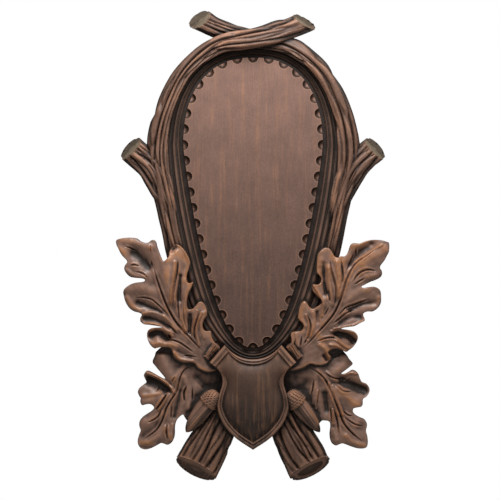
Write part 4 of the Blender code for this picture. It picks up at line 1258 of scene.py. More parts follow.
def cut_bark(piece, sizes, tree, seed, ridges, depth=1.0, pitch=1.0, sawn="sawn_wood", sides=0.6,
             wear=1.0):
    """Cuts the bark of a tube, with its depth and pitch as shares of the plaque's own."""
    values = {
        "Groove Depth": sizes.bark_depth * depth,
        "Groove Pitch": sizes.bark_pitch * pitch,
        "Ridges": float(ridges),
        "Seed": sizes.seed + seed,
        "Bark Material": finish("bark_wood"),
        "Sawn Material": finish(sawn),
    }
    apply_tree(piece, tree, values)
    return finish_piece(piece, 50, steeped=shaded_flanks(piece, sides), wear=wear)


def shaded_flanks(piece, strength):
    """How much darker a tube is painted at each point: painted shade where it turns away from the
    front, and more at the crown, where the light from above falls strongest.
    """
    facing = np.zeros(len(piece.data.vertices) * 3)
    piece.data.attributes["outwards"].data.foreach_get("vector", facing)
    facing = -facing.reshape(-1, 3)[:, 1]
    at_crown = smooth_step((vertex_rows(piece.data)[:, 2] - 0.150) / 0.075)
    return strength * smooth_step((0.72 - facing) / 0.8) + 0.30 * at_crown


def beside_stub(level):
    """How strongly a branch swells at each level, from 0 to 1."""
    return bump_at(level, STUB_LEVEL, 0.045)


def branch_path(panel, sizes, hand, lift, stations):
    """The middle line of a branch, from under the leaves up round the panel and past the crown."""
    count = 480
    outline = egg(panel, count, panel.ring_width + sizes.width * 0.5, 1)
    rising = outline[count // 2 :] if hand < 0 else outline[count // 2 : 0 : -1]
    rising = rising[rising[:, 1] > BRANCH_FOOT_LEVEL]
    clear = rising[np.abs(rising[:, 0]) > panel.width * 0.27]
    crown = panel.level + panel.crown + panel.ring_width + sizes.width * 0.5
    over_crown = [
        (hand * 0.022, crown - 0.004),
        (-hand * 0.004, crown + 0.0005),
        (-hand * 0.033, crown + 0.008),
        (-hand * (sizes.reach + 0.001 * hand), crown + sizes.climb + 0.0012 * (1 + hand)),
    ]
    line = curve_through(np.vstack([evenly(clear, 9), over_crown]), stations)
    for _ in range(170):
        line[1:-1] = (line[:-2] + 2 * line[1:-1] + line[2:]) / 4
    level = line[:, 1]
    line[:, 0] += hand * sizes.swell / 2 * beside_stub(level)
    foot = smooth_step((level + 0.068) / 0.095)
    relief = 0.010 + (sizes.relief - 0.010) * foot
    near_crossing = smooth_step(1 - np.abs(line[:, 0] * -hand - 0.010) / 0.075)
    relief = relief + lift * np.where(level > panel.level, near_crossing, 0)
    return np.column_stack([line, relief])


def make_branch(panel, sizes, side_name, hand, tree):
    """A branch up to its cut end past the crown. The left one passes in front of the right one."""
    stations = 460
    path = branch_path(panel, sizes, hand, sizes.lift * -hand, stations)
    ends = smooth_step(np.linspace(-2.0, 1, stations))
    uneven = 1 + 0.035 * wander(path[:, 0], path[:, 1], 0.05, 3 + hand)
    half_width = (sizes.width + (sizes.end_width - sizes.width) * ends) / 2 * uneven
    half_width = half_width + sizes.swell / 2 * beside_stub(path[:, 1])
    half_height = np.full(stations, sizes.front)
    skew = 0.60 if hand < 0 else -0.34
    piece = barked_tube(
        "branch_" + side_name, path, half_width, half_height, TUBE_DEPTH, slant=0.62, skew=skew
    )
    return cut_bark(piece, sizes, tree, 2 + hand, 7, 1.9, 1.6, sides=0.85, wear=0.5)


def make_stub(panel, sizes, side_name, hand, tree):
    """A cut-off twig that grows out of the branch's outer side and turns outwards."""
    outline = egg(panel, 400, panel.ring_width, 1)
    outline = outline[outline[:, 0] * hand > 0]
    foot_level = 0.020
    line = []
    for share, off in ((0, 0.17), (0.26, 0.19), (0.45, 0.25), (0.63, 0.36), (0.80, 0.56), (1, 1)):
        level = foot_level + (STUB_LEVEL - foot_level) * share
        near = outline[np.argmin(np.abs(outline[:, 1] - level))]
        line.append((near[0] + hand * off * sizes.stub_reach, level))
    line = curve_through(line, 110)
    share = smooth_step(np.linspace(0, 1.5, len(line)))
    half_width = sizes.stub_width / 2 * (0.5 + 0.5 * share)
    half_height = sizes.front * (0.90 + 0.10 * share)
    relief = sizes.relief - 0.012 * (1 - smooth_step(np.linspace(0, 3.2, len(line))))
    path = np.column_stack([line, relief])
    piece = barked_tube("stub_" + side_name, path, half_width, half_height, TUBE_DEPTH)
    return cut_bark(piece, sizes, tree, 9 + hand, 8, 1.75, 1.5, wear=0.7)


def make_butt(sizes, side_name, hand, tree):
    """A branch's sawn butt: it leaves the crossing behind the shield and flares to its cut."""
    top, end = on_side(BUTT_TOP, hand), on_side(BUTT_END, hand)
    middle = (top + end) / 2 - (hand * 0.002, 0)
    stations = 150
    top_width = 0.040
    depth = 0.0225
    line = curve_through([top, middle, end], stations)
    share = smooth_step(np.linspace(0, 1, stations))
    half_width = (top_width + (sizes.butt_width - top_width) * share) / 2
    half_height = np.full(stations, 0.012)
    path = np.column_stack([line, np.full(stations, depth + 0.001)])
    piece = barked_tube(
        "butt_" + side_name, path, half_width, half_height, depth,
        stretch=7.0, around=120, inset=hand > 0,
    )
    return cut_bark(piece, sizes, tree, 15 + hand, 16, 1.6, 1.6, "end_wood", 0.35)


def make_twig(sizes, side_name, hand, tree):
    """The cut end of a leaf spray, beside the shield's ear."""
    line = np.linspace(on_side(TWIG_TOP, hand), on_side(TWIG_END, hand), 60)
    half = np.full(60, 0.0046)
    piece = barked_tube("twig_" + side_name, line, half, half, TUBE_DEPTH, stretch=7.0, around=60)
    return cut_bark(piece, sizes, tree, 21 + hand, 9, 0.85, 0.5, "bark_wood", 0.3)


# Leaves


def nearest_on(line, x, z):
    """Distance from each place to a polyline, and the share of its length at the nearest point."""
    lengths = np.linalg.norm(np.diff(line, axis=0), axis=1)
    total = lengths.sum()
    best = np.full(np.shape(x), np.inf)
    share = np.zeros(np.shape(x))
    passed = 0.0
    for start, end, length in zip(line, line[1:], lengths):
        step = (end - start) / length
        run = np.clip((x - start[0]) * step[0] + (z - start[1]) * step[1], 0, length)
        away = np.hypot(x - start[0] - run * step[0], z - start[1] - run * step[1])
        nearer = away < best
        best = np.where(nearer, away, best)
        share = np.where(nearer, (passed + run) / total, share)
        passed += length
    return best, share


def on_grid(points):
    """Places of grid points, as metres to the right and up from the plaque's middle."""
    return (np.asarray(points, float) - GRID_MIDDLE) * (GRID, -GRID)


def near_stroke(points, fine, x, z):
    """Distance from each place to a stroke drawn on the grid, and the share of its length there."""
    return nearest_on(curve_through(on_grid(points), fine), x, z)


class LeafShape:
    """One oak leaf: its outline as a signed distance and its carved surface as a relief."""

    def __init__(self, leaf, sizes, seed):
        self.leaf = leaf
        self.sizes = sizes
        self.seed = seed
        self.outline = closed_curve(on_grid(leaf.outline))
        self.midrib = curve_through(on_grid(leaf.cuts[0][0]), 20)

    def distance(self, x, z):
        """Signed distance to the outline, negative inside."""
        closed = np.vstack([self.outline, self.outline[:1]])
        away, _ = nearest_on(closed, x, z)
        inside = np.zeros(np.shape(x), bool)
        for start, end in zip(closed, closed[1:]):
            if start[1] != end[1]:
                across = start[0] + (z - start[1]) * (end[0] - start[0]) / (end[1] - start[1])
                inside ^= ((start[1] > z) != (end[1] > z)) & (x < across)
        return np.where(inside, -away, away)

    def relief(self, x, z, distance):
        """The carved surface: soft forms, cuts with raised lips, and a rounded margin."""
        sizes, leaf = self.sizes, self.leaf
        away, share = nearest_on(self.midrib, x, z)
        tipwards = 1 - share if leaf.outline[0][1] < FIRST_LOWER_ROW else share
        relief = leaf.stem_relief + (leaf.tip_relief - leaf.stem_relief) * smooth_step(tipwards)
        relief = relief - sizes.droop * np.minimum(away / 0.045, 1.2) ** 2
        for points, breadth, height in leaf.forms:
            away, _ = near_stroke(points, 14, x, z)
            relief = relief + height * GRID * sizes.form_height * bump_at(away, 0, breadth * GRID)
        inland = smooth_step((-distance - 0.001) / 0.006)
        waves = wander(x, z, 0.026, self.seed + 5) * (0.5 + 0.5 * inland)
        waves = waves + 0.25 * wander(x, z, 0.009, self.seed + 8)
        relief = relief + sizes.unevenness * waves
        for points, breadth, depth in leaf.cuts:
            away, share = near_stroke(points, 22, x, z)
            fade = 1 - np.abs(2 * share - 1) ** 3
            wide = breadth * GRID * sizes.cut_breadth * (0.45 + 0.55 * fade)
            deep = depth * GRID * sizes.cut_depth * fade
            relief = relief - deep * np.clip(1 - away / wide, 0, 1)
            relief = relief + sizes.lip * deep * bump_at(away, wide * 1.5, wide * 0.7)
        edge = np.clip(1 + distance / sizes.margin, 0, 1)
        rounding = sizes.margin * (1 - np.sqrt(1 - edge**2 * 0.98))
        return np.maximum(relief - rounding, LEAF_BACK + 0.002)

    def rub(self, x, z):
        """Where the leaf is painted lighter, for worn stain and painted highlights, and darker where it
        is negative, for painted shade.
        """
        total = np.zeros(np.shape(x))
        for points, breadth, strength in self.leaf.rubs:
            away, _ = near_stroke(points, 12, x, z)
            total = total + strength * bump_at(away, 0, breadth * GRID)
        return total

    def fibre(self, x, z):
        """Places that run slowly along the carver's strokes, which fan out from the stem."""
        stem = max(self.midrib[0], self.midrib[-1], key=lambda end: -abs(end[0]))
        reach = np.hypot(x - stem[0], z - stem[1])
        turn = np.arctan2(z - stem[1], np.abs(x - stem[0]) + 0.004)
        return np.column_stack([turn, reach, np.zeros(len(x))]) * 0.06

    def bounds(self):
        return self.outline.min(axis=0) - 0.002, self.outline.max(axis=0) + 0.002


def kept_cells(shape, low, cell, columns, rows):
    """The grid cells with their middle inside the outline, with none that meet only at a corner."""
    middles = (low[k] + (np.arange(many) + 0.5) * cell for k, many in enumerate((columns, rows)))
    x, z = np.meshgrid(*middles, indexing="ij")
    kept = shape.distance(x, z) < 0
    while True:
        falling = kept[:-1, :-1] & kept[1:, 1:] & ~kept[1:, :-1] & ~kept[:-1, 1:]
        rising = kept[1:, :-1] & kept[:-1, 1:] & ~kept[:-1, :-1] & ~kept[1:, 1:]
        if not (falling.any() or rising.any()):
            return kept
        kept[1:, :-1] |= falling
        kept[:-1, :-1] |= rising


def slide_to_outline(shape, x, z, cell):
    """Moves grid corners on to the outline, down the slope of the distance, by under half a cell."""
    probe = 0.0002
    reach = cell * 0.45
    low_x, high_x, low_z, high_z = x - reach, x + reach, z - reach, z + reach
    for _ in range(3):
        here = shape.distance(x, z)
        slope_x = (shape.distance(x + probe, z) - here) / probe
        slope_z = (shape.distance(x, z + probe) - here) / probe
        steep = np.maximum(slope_x**2 + slope_z**2, 0.2)
        x = np.clip(x - here * slope_x / steep, low_x, high_x)
        z = np.clip(z - here * slope_z / steep, low_z, high_z)
    return x, z


def make_leaf(name, leaf, sizes, seed):
    """A leaf as a closed piece: a carved face, a margin cut straight down and a flat back."""
    shape = LeafShape(leaf, sizes, seed)
    cell = sizes.cell
    low, high = shape.bounds()
    columns, rows = np.ceil((high - low) / cell).astype(int)
    kept = kept_cells(shape, low, cell, columns, rows)
    uses = np.zeros((columns + 1, rows + 1), int)
    for right, up in CORNERS:
        uses[right : right + columns, up : up + rows] += kept
    ids = np.full(uses.shape, -1)
    count = int((uses > 0).sum())
    ids[uses > 0] = np.arange(count)
    i, j = np.nonzero(uses > 0)
    x, z = low[0] + i * cell, low[1] + j * cell
    rim = uses[i, j] < 4
    x[rim], z[rim] = slide_to_outline(shape, x[rim], z[rim], cell)
    a, b = np.nonzero(kept)
    quads = np.column_stack([ids[a, b], ids[a + 1, b], ids[a + 1, b + 1], ids[a, b + 1]])
    edges = np.vstack([quads[:, (k, (k + 1) % 4)] for k in range(4)])
    forward = {(start, end) for start, end in edges.tolist()}
    sides = [(start, end) for start, end in forward if (end, start) not in forward]
    rim_points = sorted({point for side in sides for point in side})
    lower = {point: count + k for k, point in enumerate(rim_points)}
    points = np.column_stack([x, z, shape.relief(x, z, shape.distance(x, z))])
    under = points[rim_points].copy()
    under[:, 2] = LEAF_BACK
    faces = quads.tolist()
    faces += [(end, start, lower[start], lower[end]) for start, end in sides]
    every = np.vstack([points, under])
    piece = new_piece(name, every, faces)
    turn_outwards(piece, close=True)
    piece.data.materials.append(finish("leaf_wood"))
    store(piece, "rub", np.concatenate([shape.rub(x, z), np.zeros(len(under))]))
    store(piece, "fibre", shape.fibre(every[:, 0], every[:, 1]))
    return finish_piece(piece, 40)


# Shield, core and acorns


def shield_outline(panel, sizes, flank_points=13, hollow_points=6):
    """The shield's outline, clockwise from the hollow of its top edge."""
    foot = egg(panel, 720)[:, 1].min() - panel.ring_width - 0.0005
    size = (sizes.width / 2, sizes.height)
    hollow = pulled_curve(np.array([(0, 0), (0.40, 0.0), (0.66, 0.16)]) * size, hollow_points)
    flank = curve_through(
        np.array(
            [
                (1, -0.03),
                (0.77, -0.14),
                (0.71, -0.26),
                (0.80, -0.42),
                (0.82, -0.56),
                (0.68, -0.72),
                (0.40, -0.87),
                (0, -1),
            ]
        )
        * size,
        flank_points,
    )
    shoulder = np.linspace(hollow[-1], flank[0], max(2, hollow_points // 3))[1:-1]
    half = np.vstack([hollow, shoulder, flank])
    return np.vstack([half, half[-2:0:-1] * (-1, 1)]) + (0, foot)


def outline_middle(outline):
    return np.array([0, (outline[:, 1].max() + outline[:, 1].min()) / 2])


def drawn_in(outline, inset, width):
    """The shield's outline, drawn in towards its middle by about an inset."""
    middle = outline_middle(outline)
    return middle + (outline - middle) * (1 - inset / (width * 0.36))


def field_rings(floor, outline, sizes):
    """Rings that close the shield's field. It swells in the middle and levels off at the rim."""
    edge = evenly(floor[:, :2], 1400, closed=True)
    step_length = np.linalg.norm(edge[1] - edge[0])
    middle = outline_middle(outline)
    rings = []
    for share in np.linspace(1, 0, 40)[1:]:
        ring = floor.copy()
        ring[:, :2] = middle + (floor[:, :2] - middle) * max(share, 0.004)
        away = np.hypot(ring[:, :1] - edge[:, 0], ring[:, 1:2] - edge[:, 1])
        inland = np.sqrt(2 / (step_length / np.maximum(away, 0.0003) ** 3).sum(axis=1))
        ring[:, 2] += sizes.dome * np.tanh(inland / (sizes.width * 0.105))
        rings.append(ring)
    return rings


def make_shield(panel, sizes):
    """The small blank shield, with a rim of two edges and a hollow between them."""
    outline = shield_outline(panel, sizes, 90, 40)
    rim, step = sizes.rim, sizes.rim_step
    front = sizes.front - sizes.dome + step + 0.0004
    # Inset, relief and how much the stain is rubbed off there, from the back to the field
    steps = (
        (0.003, sizes.back, 0),
        (0.001, front - 0.016, 0),
        (0, front - 0.010, 0.06),
        (0, front - 0.0022, 0.06),
        (0.0003, front - 0.0010, 0.10),
        (0.0009, front - 0.0003, 0.20),
        (0.0016, front, 0.05),
        (rim * 0.50, front - 0.0004, -0.15),
        (rim * 0.62, front - 0.0009, -0.35),
        (rim * 0.78, front - 0.0009, -0.35),
        (rim * 0.88, front - 0.0002, -0.35),
        (rim * 0.98, front, 0.25),
        (rim * 1.06, front - 0.0003, 0.15),
        (rim * 1.12, front - step, 0),
        (rim * 1.20, front - step - 0.0003, 0),
        (rim * 1.36, front - step + 0.0001, 0),
    )
    rings = [level_ring(drawn_in(outline, inset, sizes.width), relief) for inset, relief, _ in steps]
    rings += field_rings(rings[-1], outline, sizes)
    for ring in rings[7:]:
        ring[:, 2] += 0.00022 * wander(ring[:, 0], ring[:, 1], 0.026, 2)
        ring[:, 2] = np.minimum(ring[:, 2], sizes.front)
    piece = loft("shield", rings, "shield_wood")
    rub = np.zeros(len(rings))
    rub[: len(steps)] = [strength for _, _, strength in steps]
    store(piece, "rub", np.repeat(rub, len(outline)))
    low, high = outline[:, 1].min(), outline[:, 1].max()

    # Darker towards the point: partly deeper stain and partly painted shade on the lower half, which
    # faces downwards
    def darker_below(x, relief, z):
        return 0.12 + 0.92 * smooth_step((high - 0.010 - z) / (high - low) * 1.15)

    return finish_piece(piece, steeped=darker_below, wear=0.30)


def make_core(panel, sizes):
    """The block behind the shield. Its front is rounded like the leaves that spring from it."""
    turn = np.linspace(0, 2 * math.pi, 200, endpoint=False)
    half_width, half_height = 0.075, 0.053
    top = shield_outline(panel, sizes)[:, 1].max() + 0.005
    middle = np.array([0, top - half_height])
    circle = np.stack([np.sin(turn), np.cos(turn)], axis=1)
    oval = np.sign(circle) * np.abs(circle) ** 0.6 * (half_width, half_height)
    steps = (
        (0.94, 0.0015),
        (1, 0.0045),
        (1, 0.0080),
        (0.97, 0.0107),
        (0.93, 0.0123),
        (0.88, 0.0130),
        (0.70, 0.0132),
    )
    rings = [level_ring(middle + oval * share, relief) for share, relief in steps]
    return finish_piece(loft("core", rings, "carved_wood"))


def acorn_axes(hand):
    """An acorn's directions along, to the side and to the front, and the middle of its cup's rim."""
    heading = math.radians(ACORN_HEADING)
    if hand > 0:
        heading = math.pi - heading
    along = unit(np.array([math.cos(heading), math.sin(heading), ACORN_SINK]))
    side = unit(np.cross(along, (0, 0, 1)))
    return along, side, np.cross(side, along), on_side(ACORN_PLACE, hand)


def turned(name, profile, axes, around, look, ripple=0.0):
    """A solid turned about the acorn's axis, from (reach, radius) pairs, with slight facets."""
    along, side, front, place = axes
    turn = np.linspace(0, 2 * math.pi, around, endpoint=False)[:, None]
    facets = np.abs(np.sin(turn * 3.5 + 0.6))
    rings = []
    for reach, radius in profile:
        radius = radius * (1 + ripple * (facets + 0.3 * np.sin(turn * 17 + reach * 90)))
        ray = np.cos(turn) * side + np.sin(turn) * front
        rings.append(place + along * reach + radius * ray)
    return loft(name, rings, look)


def make_nut(sizes, side_name, hand, axes):
    """An acorn's nut, with a painted highlight in one line along it and painted shade on the side
    beyond that line.
    """
    along, _, _, place = axes
    length, thickness = sizes.nut_length, sizes.nut_radius
    blunt = 2.6 if hand > 0 else 3.4
    profile = [(-0.004, thickness * 0.9), (0.001, thickness)]
    for share in np.linspace(0.05, 1, 36):
        profile.append((length * share, thickness * (1.02 - share**blunt) ** 0.72))
    piece = turned("acorn_nut_" + side_name, profile, axes, 84, "leaf_wood", -0.10)
    spots = vertex_rows(piece.data)[:, (0, 2)] - place[:2]
    across = spots @ (np.array([along[1], -along[0]]) * hand) / thickness
    reach = spots @ along[:2] / length
    # A painted highlight along the line, and painted shade on the side beyond it
    line = 0.05 if hand < 0 else -0.55
    rub = 0.9 * bump_at(across, line, 0.16) * np.clip(0.35 + reach, 0, 1)
    store(piece, "rub", rub - 0.18 - 0.8 * smooth_step((across - line - 0.1) / 0.4))
    fibre = np.column_stack([across * 0.010, reach * 0.003, np.zeros(len(across))])
    store(piece, "fibre", fibre)
    return finish_piece(piece, wear=0.35)


def cup_place(sizes, turn):
    """How far back from its rim an acorn's cup is at a turn towards its stem, and how wide."""
    return -sizes.cup_length * math.sin(turn), sizes.cup_radius * 0.96 * math.cos(turn) ** 0.7


def make_cup(sizes, side_name, axes):
    radius = sizes.cup_radius
    profile = [(0.0022, radius * 0.80), (0.0018, radius * 0.93), (0.0004, radius * 0.97)]
    profile += [cup_place(sizes, turn) for turn in np.linspace(0.05, 1.5, 16)]
    piece = turned("acorn_cup_" + side_name, profile, axes, 48, "shield_wood")
    return finish_piece(piece, steeped=0.85)


def make_scales(sizes, side_name, axes, tree):
    """Rows of small scales round a cup, each row set half a scale on from the one before."""
    along, side, front, place = axes
    points, outwards, lengthwise, shrink = [], [], [], []
    for row in range(sizes.scale_rows):
        turn = 0.02 + 1.38 * row / (sizes.scale_rows - 1)
        reach, radius = cup_place(sizes, turn)
        rise, run = sizes.cup_length * math.cos(turn), sizes.cup_radius * 0.7 * math.sin(turn)
        slope = unit(np.array([rise, run]))
        many = max(5, round(sizes.scales_round * (radius / sizes.cup_radius) ** 0.75))
        for k in range(many):
            at = (k + 0.5 * (row % 2)) / many * 2 * math.pi
            ray = math.cos(at) * side + math.sin(at) * front
            points.append(place + along * reach + ray * radius)
            outwards.append(ray * slope[0] - along * slope[1])
            lengthwise.append(along * slope[0] + ray * slope[1])
            shrink.append(0.62 + 0.38 * math.cos(turn))
    piece = new_piece("acorn_scales_" + side_name, points, [])
    store(piece, "outwards", in_space(outwards))
    store(piece, "lengthwise", in_space(lengthwise))
    store(piece, "shrink", shrink)
    values = {
        "Scale Length": 0.0031,
        "Scale Width": 0.0028,
        "Thickness": 0.0022,
        "Material": finish("shield_wood"),
    }
    apply_tree(piece, tree, values)
    return finish_piece(piece, 60, steeped=0.3, wear=0.3)


# Where the stain stays and where it is rubbed, and where shade and highlights are painted


def surface_points(mesh):
    """Points all over a mesh's surface, less than a millimetre apart."""
    mesh.calc_loop_triangles()
    places = vertex_rows(mesh)
    corners = np.zeros(len(mesh.loop_triangles) * 3, int)
    mesh.loop_triangles.foreach_get("vertices", corners)
    triangles = places[corners.reshape(-1, 3)]
    longest = np.linalg.norm(triangles - np.roll(triangles, 1, axis=1), axis=2).max(axis=1)
    steps = np.clip(np.ceil(longest / POINT_GAP), 1, 120).astype(int)
    found = [places]
    for count in np.unique(steps):
        if count == 1:
            continue
        chosen = triangles[steps == count]
        shares = np.array(
            [(i, j, count - i - j) for i in range(count + 1) for j in range(count + 1 - i)]
        )
        if len(chosen) * len(shares) <= MOST_POINTS:
            found.append(np.einsum("pk,tkc->tpc", shares / count, chosen).reshape(-1, 3))
    return np.vstack(found)


def blurred(image, radius):
    """The mean over a square about each cell, taken twice."""
    width = 2 * radius + 1
    for turned_image in (False, True):
        image = image.T if turned_image else image
        for _ in range(2):
            sums = np.cumsum(np.pad(image, [(radius + 1, radius), (0, 0)], mode="edge"), axis=0)
            image = (sums[width:] - sums[:-width]) / width
        image = image.T if turned_image else image
    return image


def neighbours(image):
    return [np.roll(image, shift, axis) for shift in (1, -1) for axis in (0, 1)]


def front_relief(pieces, low, high):
    """How far the carving stands out from the wall, on a fine grid, with its small gaps closed."""
    size = np.ceil((high - low) / TONE_CELL).astype(int) + 1
    relief = np.zeros(size)
    for piece in pieces:
        points = surface_points(piece.data)
        at = np.round((points[:, (0, 2)] - low) / TONE_CELL).astype(int)
        at = np.clip(at, 0, size - 1)
        np.maximum.at(relief, (at[:, 0], at[:, 1]), -points[:, 1])
    for _ in range(2):
        beside = neighbours(relief)
        crowded = np.sum([near > 0 for near in beside], axis=0) >= 3
        relief = np.where((relief <= 0) & crowded, np.max(beside, axis=0), relief)
    return relief


def hollows_and_ridges(relief):
    """How deep each cell lies in hollows and how high on ridges, over three breadths of them."""
    cover = (relief > 0).astype(float)
    hollows, ridges = 0, 0
    for radius, hollow_depth, most, ridge_height, gain in TONE_STEPS:
        around = blurred(relief * cover, radius) / np.maximum(blurred(cover, radius), 0.05)
        below = (around - relief) * cover
        hollows = hollows + np.clip(below / hollow_depth, 0, most)
        ridges = ridges + np.clip(-below / ridge_height, 0, 1.3) * gain
    return hollows, ridges


def read_grid(image, at):
    """The grid's value at each place, in cells, between the four corners round it."""
    corner = np.clip(np.floor(at).astype(int), 0, np.array(image.shape) - 2)
    part = np.clip(at - corner, 0, 1)
    total = 0
    for right, up in CORNERS:
        share_x = part[:, 0] if right else 1 - part[:, 0]
        share_z = part[:, 1] if up else 1 - part[:, 1]
        total = total + image[corner[:, 0] + right, corner[:, 1] + up] * share_x * share_z
    return total


def tone_pieces(pieces):
    """Gives every piece its hollow and ridge attributes, from the whole carving's relief: stain in
    recesses and painted shade, worn ridges and painted highlights.
    """
    low = np.array([CAD_LOW[0], CAD_LOW[2]]) - TONE_MARGIN
    high = np.array([CAD_HIGH[0], CAD_HIGH[2]]) + TONE_MARGIN
    relief = front_relief(pieces, low, high)
    hollows, ridges = hollows_and_ridges(relief)
    for piece in pieces:
        places = vertex_rows(piece.data)
        at = (places[:, (0, 2)] - low) / TONE_CELL
        # Painted shade on points that lie behind the carving in front of them, such as walls and
        # undercuts
        under = np.clip((read_grid(relief, at) + places[:, 1] - 0.0012) / 0.006, 0, 1)
        wallward = np.clip(vertex_rows(piece.data, "normal")[:, 1] * 2.5 - 1.3, 0, 1)
        hollow = read_grid(hollows, at) * 0.62 + under * 0.9 + stored(piece, "steeped")
        hollow = np.clip(hollow, 0, 1) * (1 - 0.65 * wallward)
        ridge = np.clip(read_grid(ridges, at) * 0.62 * piece.get("wear", 1.0), 0, 1) * (1 - under)
        # Where positive, this adds worn stain and painted highlights to the ridge; where negative,
        # painted shade to the hollow
        if "rub" in piece.data.attributes:
            rub = stored(piece, "rub")
            ridge = np.clip(ridge * 0.8 + np.maximum(rub, 0) * 0.8, 0, 1)
            hollow = hollow * (1 - np.clip(rub, 0, 0.8)) - np.minimum(rub, 0)
        for name, values in (("hollow", np.clip(hollow, 0, 1)), ("ridge", ridge)):
            if name in piece.data.attributes:
                piece.data.attributes.remove(piece.data.attributes[name])
            store(piece, name, values)


# Operators


class PLAQUE_OT_panel(bpy.types.Operator):
    """Make the egg-shaped panel with its scalloped edge, and the board and ring behind it"""

    bl_idname = "plaque.make_panel"
    bl_label = "Panel and ring"

    def execute(self, context):
        sizes = context.scene.plaque_panel
        make_board(sizes)
        make_panel(sizes)
        return {"FINISHED"}


class PLAQUE_OT_branches(bpy.types.Operator):
    """Make the two branches, their side stubs and their sawn butts"""

    bl_idname = "plaque.make_branches"
    bl_label = "Branches"

    def execute(self, context):
        scene = context.scene
        panel, sizes = scene.plaque_panel, scene.plaque_branch
        tree = bark_tree()
        for side_name, hand, _, _ in SIDES:
            make_branch(panel, sizes, side_name, hand, tree)
            make_stub(panel, sizes, side_name, hand, tree)
            make_butt(sizes, side_name, hand, tree)
            make_twig(sizes, side_name, hand, tree)
        return {"FINISHED"}


class PLAQUE_OT_leaves(bpy.types.Operator):
    """Make the four oak leaves"""

    bl_idname = "plaque.make_leaves"
    bl_label = "Oak leaves"

    def execute(self, context):
        sizes = context.scene.plaque_leaf
        for side_name, hand, upper, lower in SIDES:
            make_leaf("upper_leaf_" + side_name, upper, sizes, 1 + hand)
            make_leaf("lower_leaf_" + side_name, lower, sizes, 6 + hand)
        return {"FINISHED"}


class PLAQUE_OT_shield(bpy.types.Operator):
    """Make the blank shield and the block behind it"""

    bl_idname = "plaque.make_shield"
    bl_label = "Shield"

    def execute(self, context):
        scene = context.scene
        make_core(scene.plaque_panel, scene.plaque_shield)
        make_shield(scene.plaque_panel, scene.plaque_shield)
        return {"FINISHED"}


class PLAQUE_OT_acorns(bpy.types.Operator):
    """Make the two acorns in their scaly cups"""

    bl_idname = "plaque.make_acorns"
    bl_label = "Acorns"

    def execute(self, context):
        sizes = context.scene.plaque_shield
        tree = scales_tree()
        for side_name, hand, _, _ in SIDES:
            axes = acorn_axes(hand)
            make_nut(sizes, side_name, hand, axes)
            make_cup(sizes, side_name, axes)
            make_scales(sizes, side_name, axes, tree)
        return {"FINISHED"}


class PLAQUE_OT_stain(bpy.types.Operator):
    """Work out where the stain stays dark and where it is rubbed off, and where shade and highlights
    are painted, on every carved piece
    """

    bl_idname = "plaque.stain_wood"
    bl_label = "Stain and wear"

    def execute(self, context):
        pieces = [piece for piece in context.scene.objects if piece.get("carved")]
        if not pieces:
            raise RuntimeError("make the carved pieces before they are stained")
        tone_pieces(pieces)
        return {"FINISHED"}


class PLAQUE_OT_stage(bpy.types.Operator):
    """Make the pale floor, the soft lights and the camera"""

    bl_idname = "plaque.set_stage"
    bl_label = "Stage"

    def execute(self, context):
        sizes = context.scene.plaque_stage
        make_floor(sizes)
        make_lights(sizes)
        make_camera(sizes)
        context.scene.view_settings.view_transform = "Standard"
        return {"FINISHED"}


def make_floor(sizes):
    mesh = bpy.data.meshes.new("floor")
    level = sizes.floor_level
    corners = [(-2, -2, level), (2, -2, level), (2, 1, level), (-2, 1, level)]
    mesh.from_pydata(corners, [], [(0, 1, 2, 3)])
    floor = bpy.data.objects.new("floor", mesh)
    bpy.context.scene.collection.objects.link(floor)
    material = bpy.data.materials.new("pale_floor")
    material.use_nodes = True
    shader = material.node_tree.nodes["Principled BSDF"]
    shader.inputs["Base Color"].default_value = (0.85, 0.85, 0.84, 1)
    shader.inputs["Roughness"].default_value = 0.8
    mesh.materials.append(material)


def soft_light(name, place, aim, size, power):
    light = bpy.data.lights.new(name, "AREA")
    light.shape = "RECTANGLE"
    light.size, light.size_y = size
    light.energy = power
    lamp = bpy.data.objects.new(name, light)
    lamp.location = place
    lamp.rotation_euler = (Vector(aim) - Vector(place)).to_track_quat("-Z", "Y").to_euler()
    bpy.context.scene.collection.objects.link(lamp)


def make_lights(sizes):
    soft_light("key_light", (0.03, -0.42, 0.62), (0, 0, 0.08), (0.55, 0.35), sizes.key_power)
    soft_light("fill_light", (0.25, -1.6, 0.3), (0, 0, 0), (1.2, 1.2), sizes.fill_power)
    world = bpy.data.worlds.new("studio")
    bpy.context.scene.world = world
    world.use_nodes = True
    tree = world.node_tree
    tree.nodes.clear()
    path = tree.nodes.new("ShaderNodeLightPath")
    seen = add_node(tree, "ShaderNodeBackground", {"Color": (1, 1, 1, 1), "Strength": 1.0})
    lit = add_node(tree, "ShaderNodeBackground", {"Color": (1, 0.98, 0.96, 1), "Strength": 0.15})
    mix = add_node(
        tree,
        "ShaderNodeMixShader",
        {0: path.outputs["Is Camera Ray"], 1: lit.outputs[0], 2: seen.outputs[0]},
    )
    output = tree.nodes.new("ShaderNodeOutputWorld")
    tree.links.new(mix.outputs[0], output.inputs["Surface"])


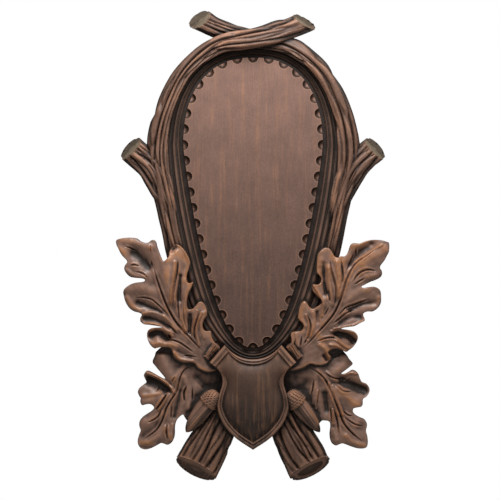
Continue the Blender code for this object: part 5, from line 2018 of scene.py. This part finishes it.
def make_camera(sizes):
    """A long lens straight in front, with the photograph's framing."""
    data = bpy.data.cameras.new("camera")
    camera = bpy.data.objects.new("camera", data)
    bpy.context.scene.collection.objects.link(camera)
    camera.location = (VIEW_MIDDLE[0], -sizes.distance, VIEW_MIDDLE[1])
    camera.rotation_euler = (math.pi / 2, 0, 0)
    data.sensor_fit = "HORIZONTAL"
    data.sensor_width = SENSOR_WIDTH
    data.lens = SENSOR_WIDTH * (sizes.distance - VIEW_RELIEF) / sizes.view_height
    data.clip_end = 50
    bpy.context.scene.camera = camera


OPERATORS = (
    PLAQUE_OT_panel,
    PLAQUE_OT_branches,
    PLAQUE_OT_leaves,
    PLAQUE_OT_shield,
    PLAQUE_OT_acorns,
    PLAQUE_OT_stain,
    PLAQUE_OT_stage,
)


class PLAQUE_PT_sidebar(bpy.types.Panel):
    """Sizes, colours and steps of the carved plaque"""

    bl_idname = "PLAQUE_PT_sidebar"
    bl_label = "Carved plaque"
    bl_space_type = "VIEW_3D"
    bl_region_type = "UI"
    bl_category = "Plaque"

    def draw(self, context):
        for attribute_name, group in SETTINGS:
            box = self.layout.box()
            box.label(text=group.__doc__)
            values = getattr(context.scene, attribute_name)
            for key in group.__annotations__:
                box.prop(values, key)
        for operator in OPERATORS:
            self.layout.operator(operator.bl_idname)


CLASSES = tuple(group for _, group in SETTINGS) + OPERATORS + (PLAQUE_PT_sidebar,)


def register():
    for item in CLASSES:
        bpy.utils.register_class(item)
    for attribute_name, group in SETTINGS:
        setattr(bpy.types.Scene, attribute_name, PointerProperty(type=group))


def unregister():
    for attribute_name, _ in SETTINGS:
        delattr(bpy.types.Scene, attribute_name)
    for item in reversed(CLASSES):
        bpy.utils.unregister_class(item)


def main():
    register()
    bpy.ops.plaque.make_panel()
    bpy.ops.plaque.make_branches()
    bpy.ops.plaque.make_leaves()
    bpy.ops.plaque.make_shield()
    bpy.ops.plaque.make_acorns()
    bpy.ops.plaque.stain_wood()
    bpy.ops.plaque.set_stage()


if __name__ == "__main__":
    main()
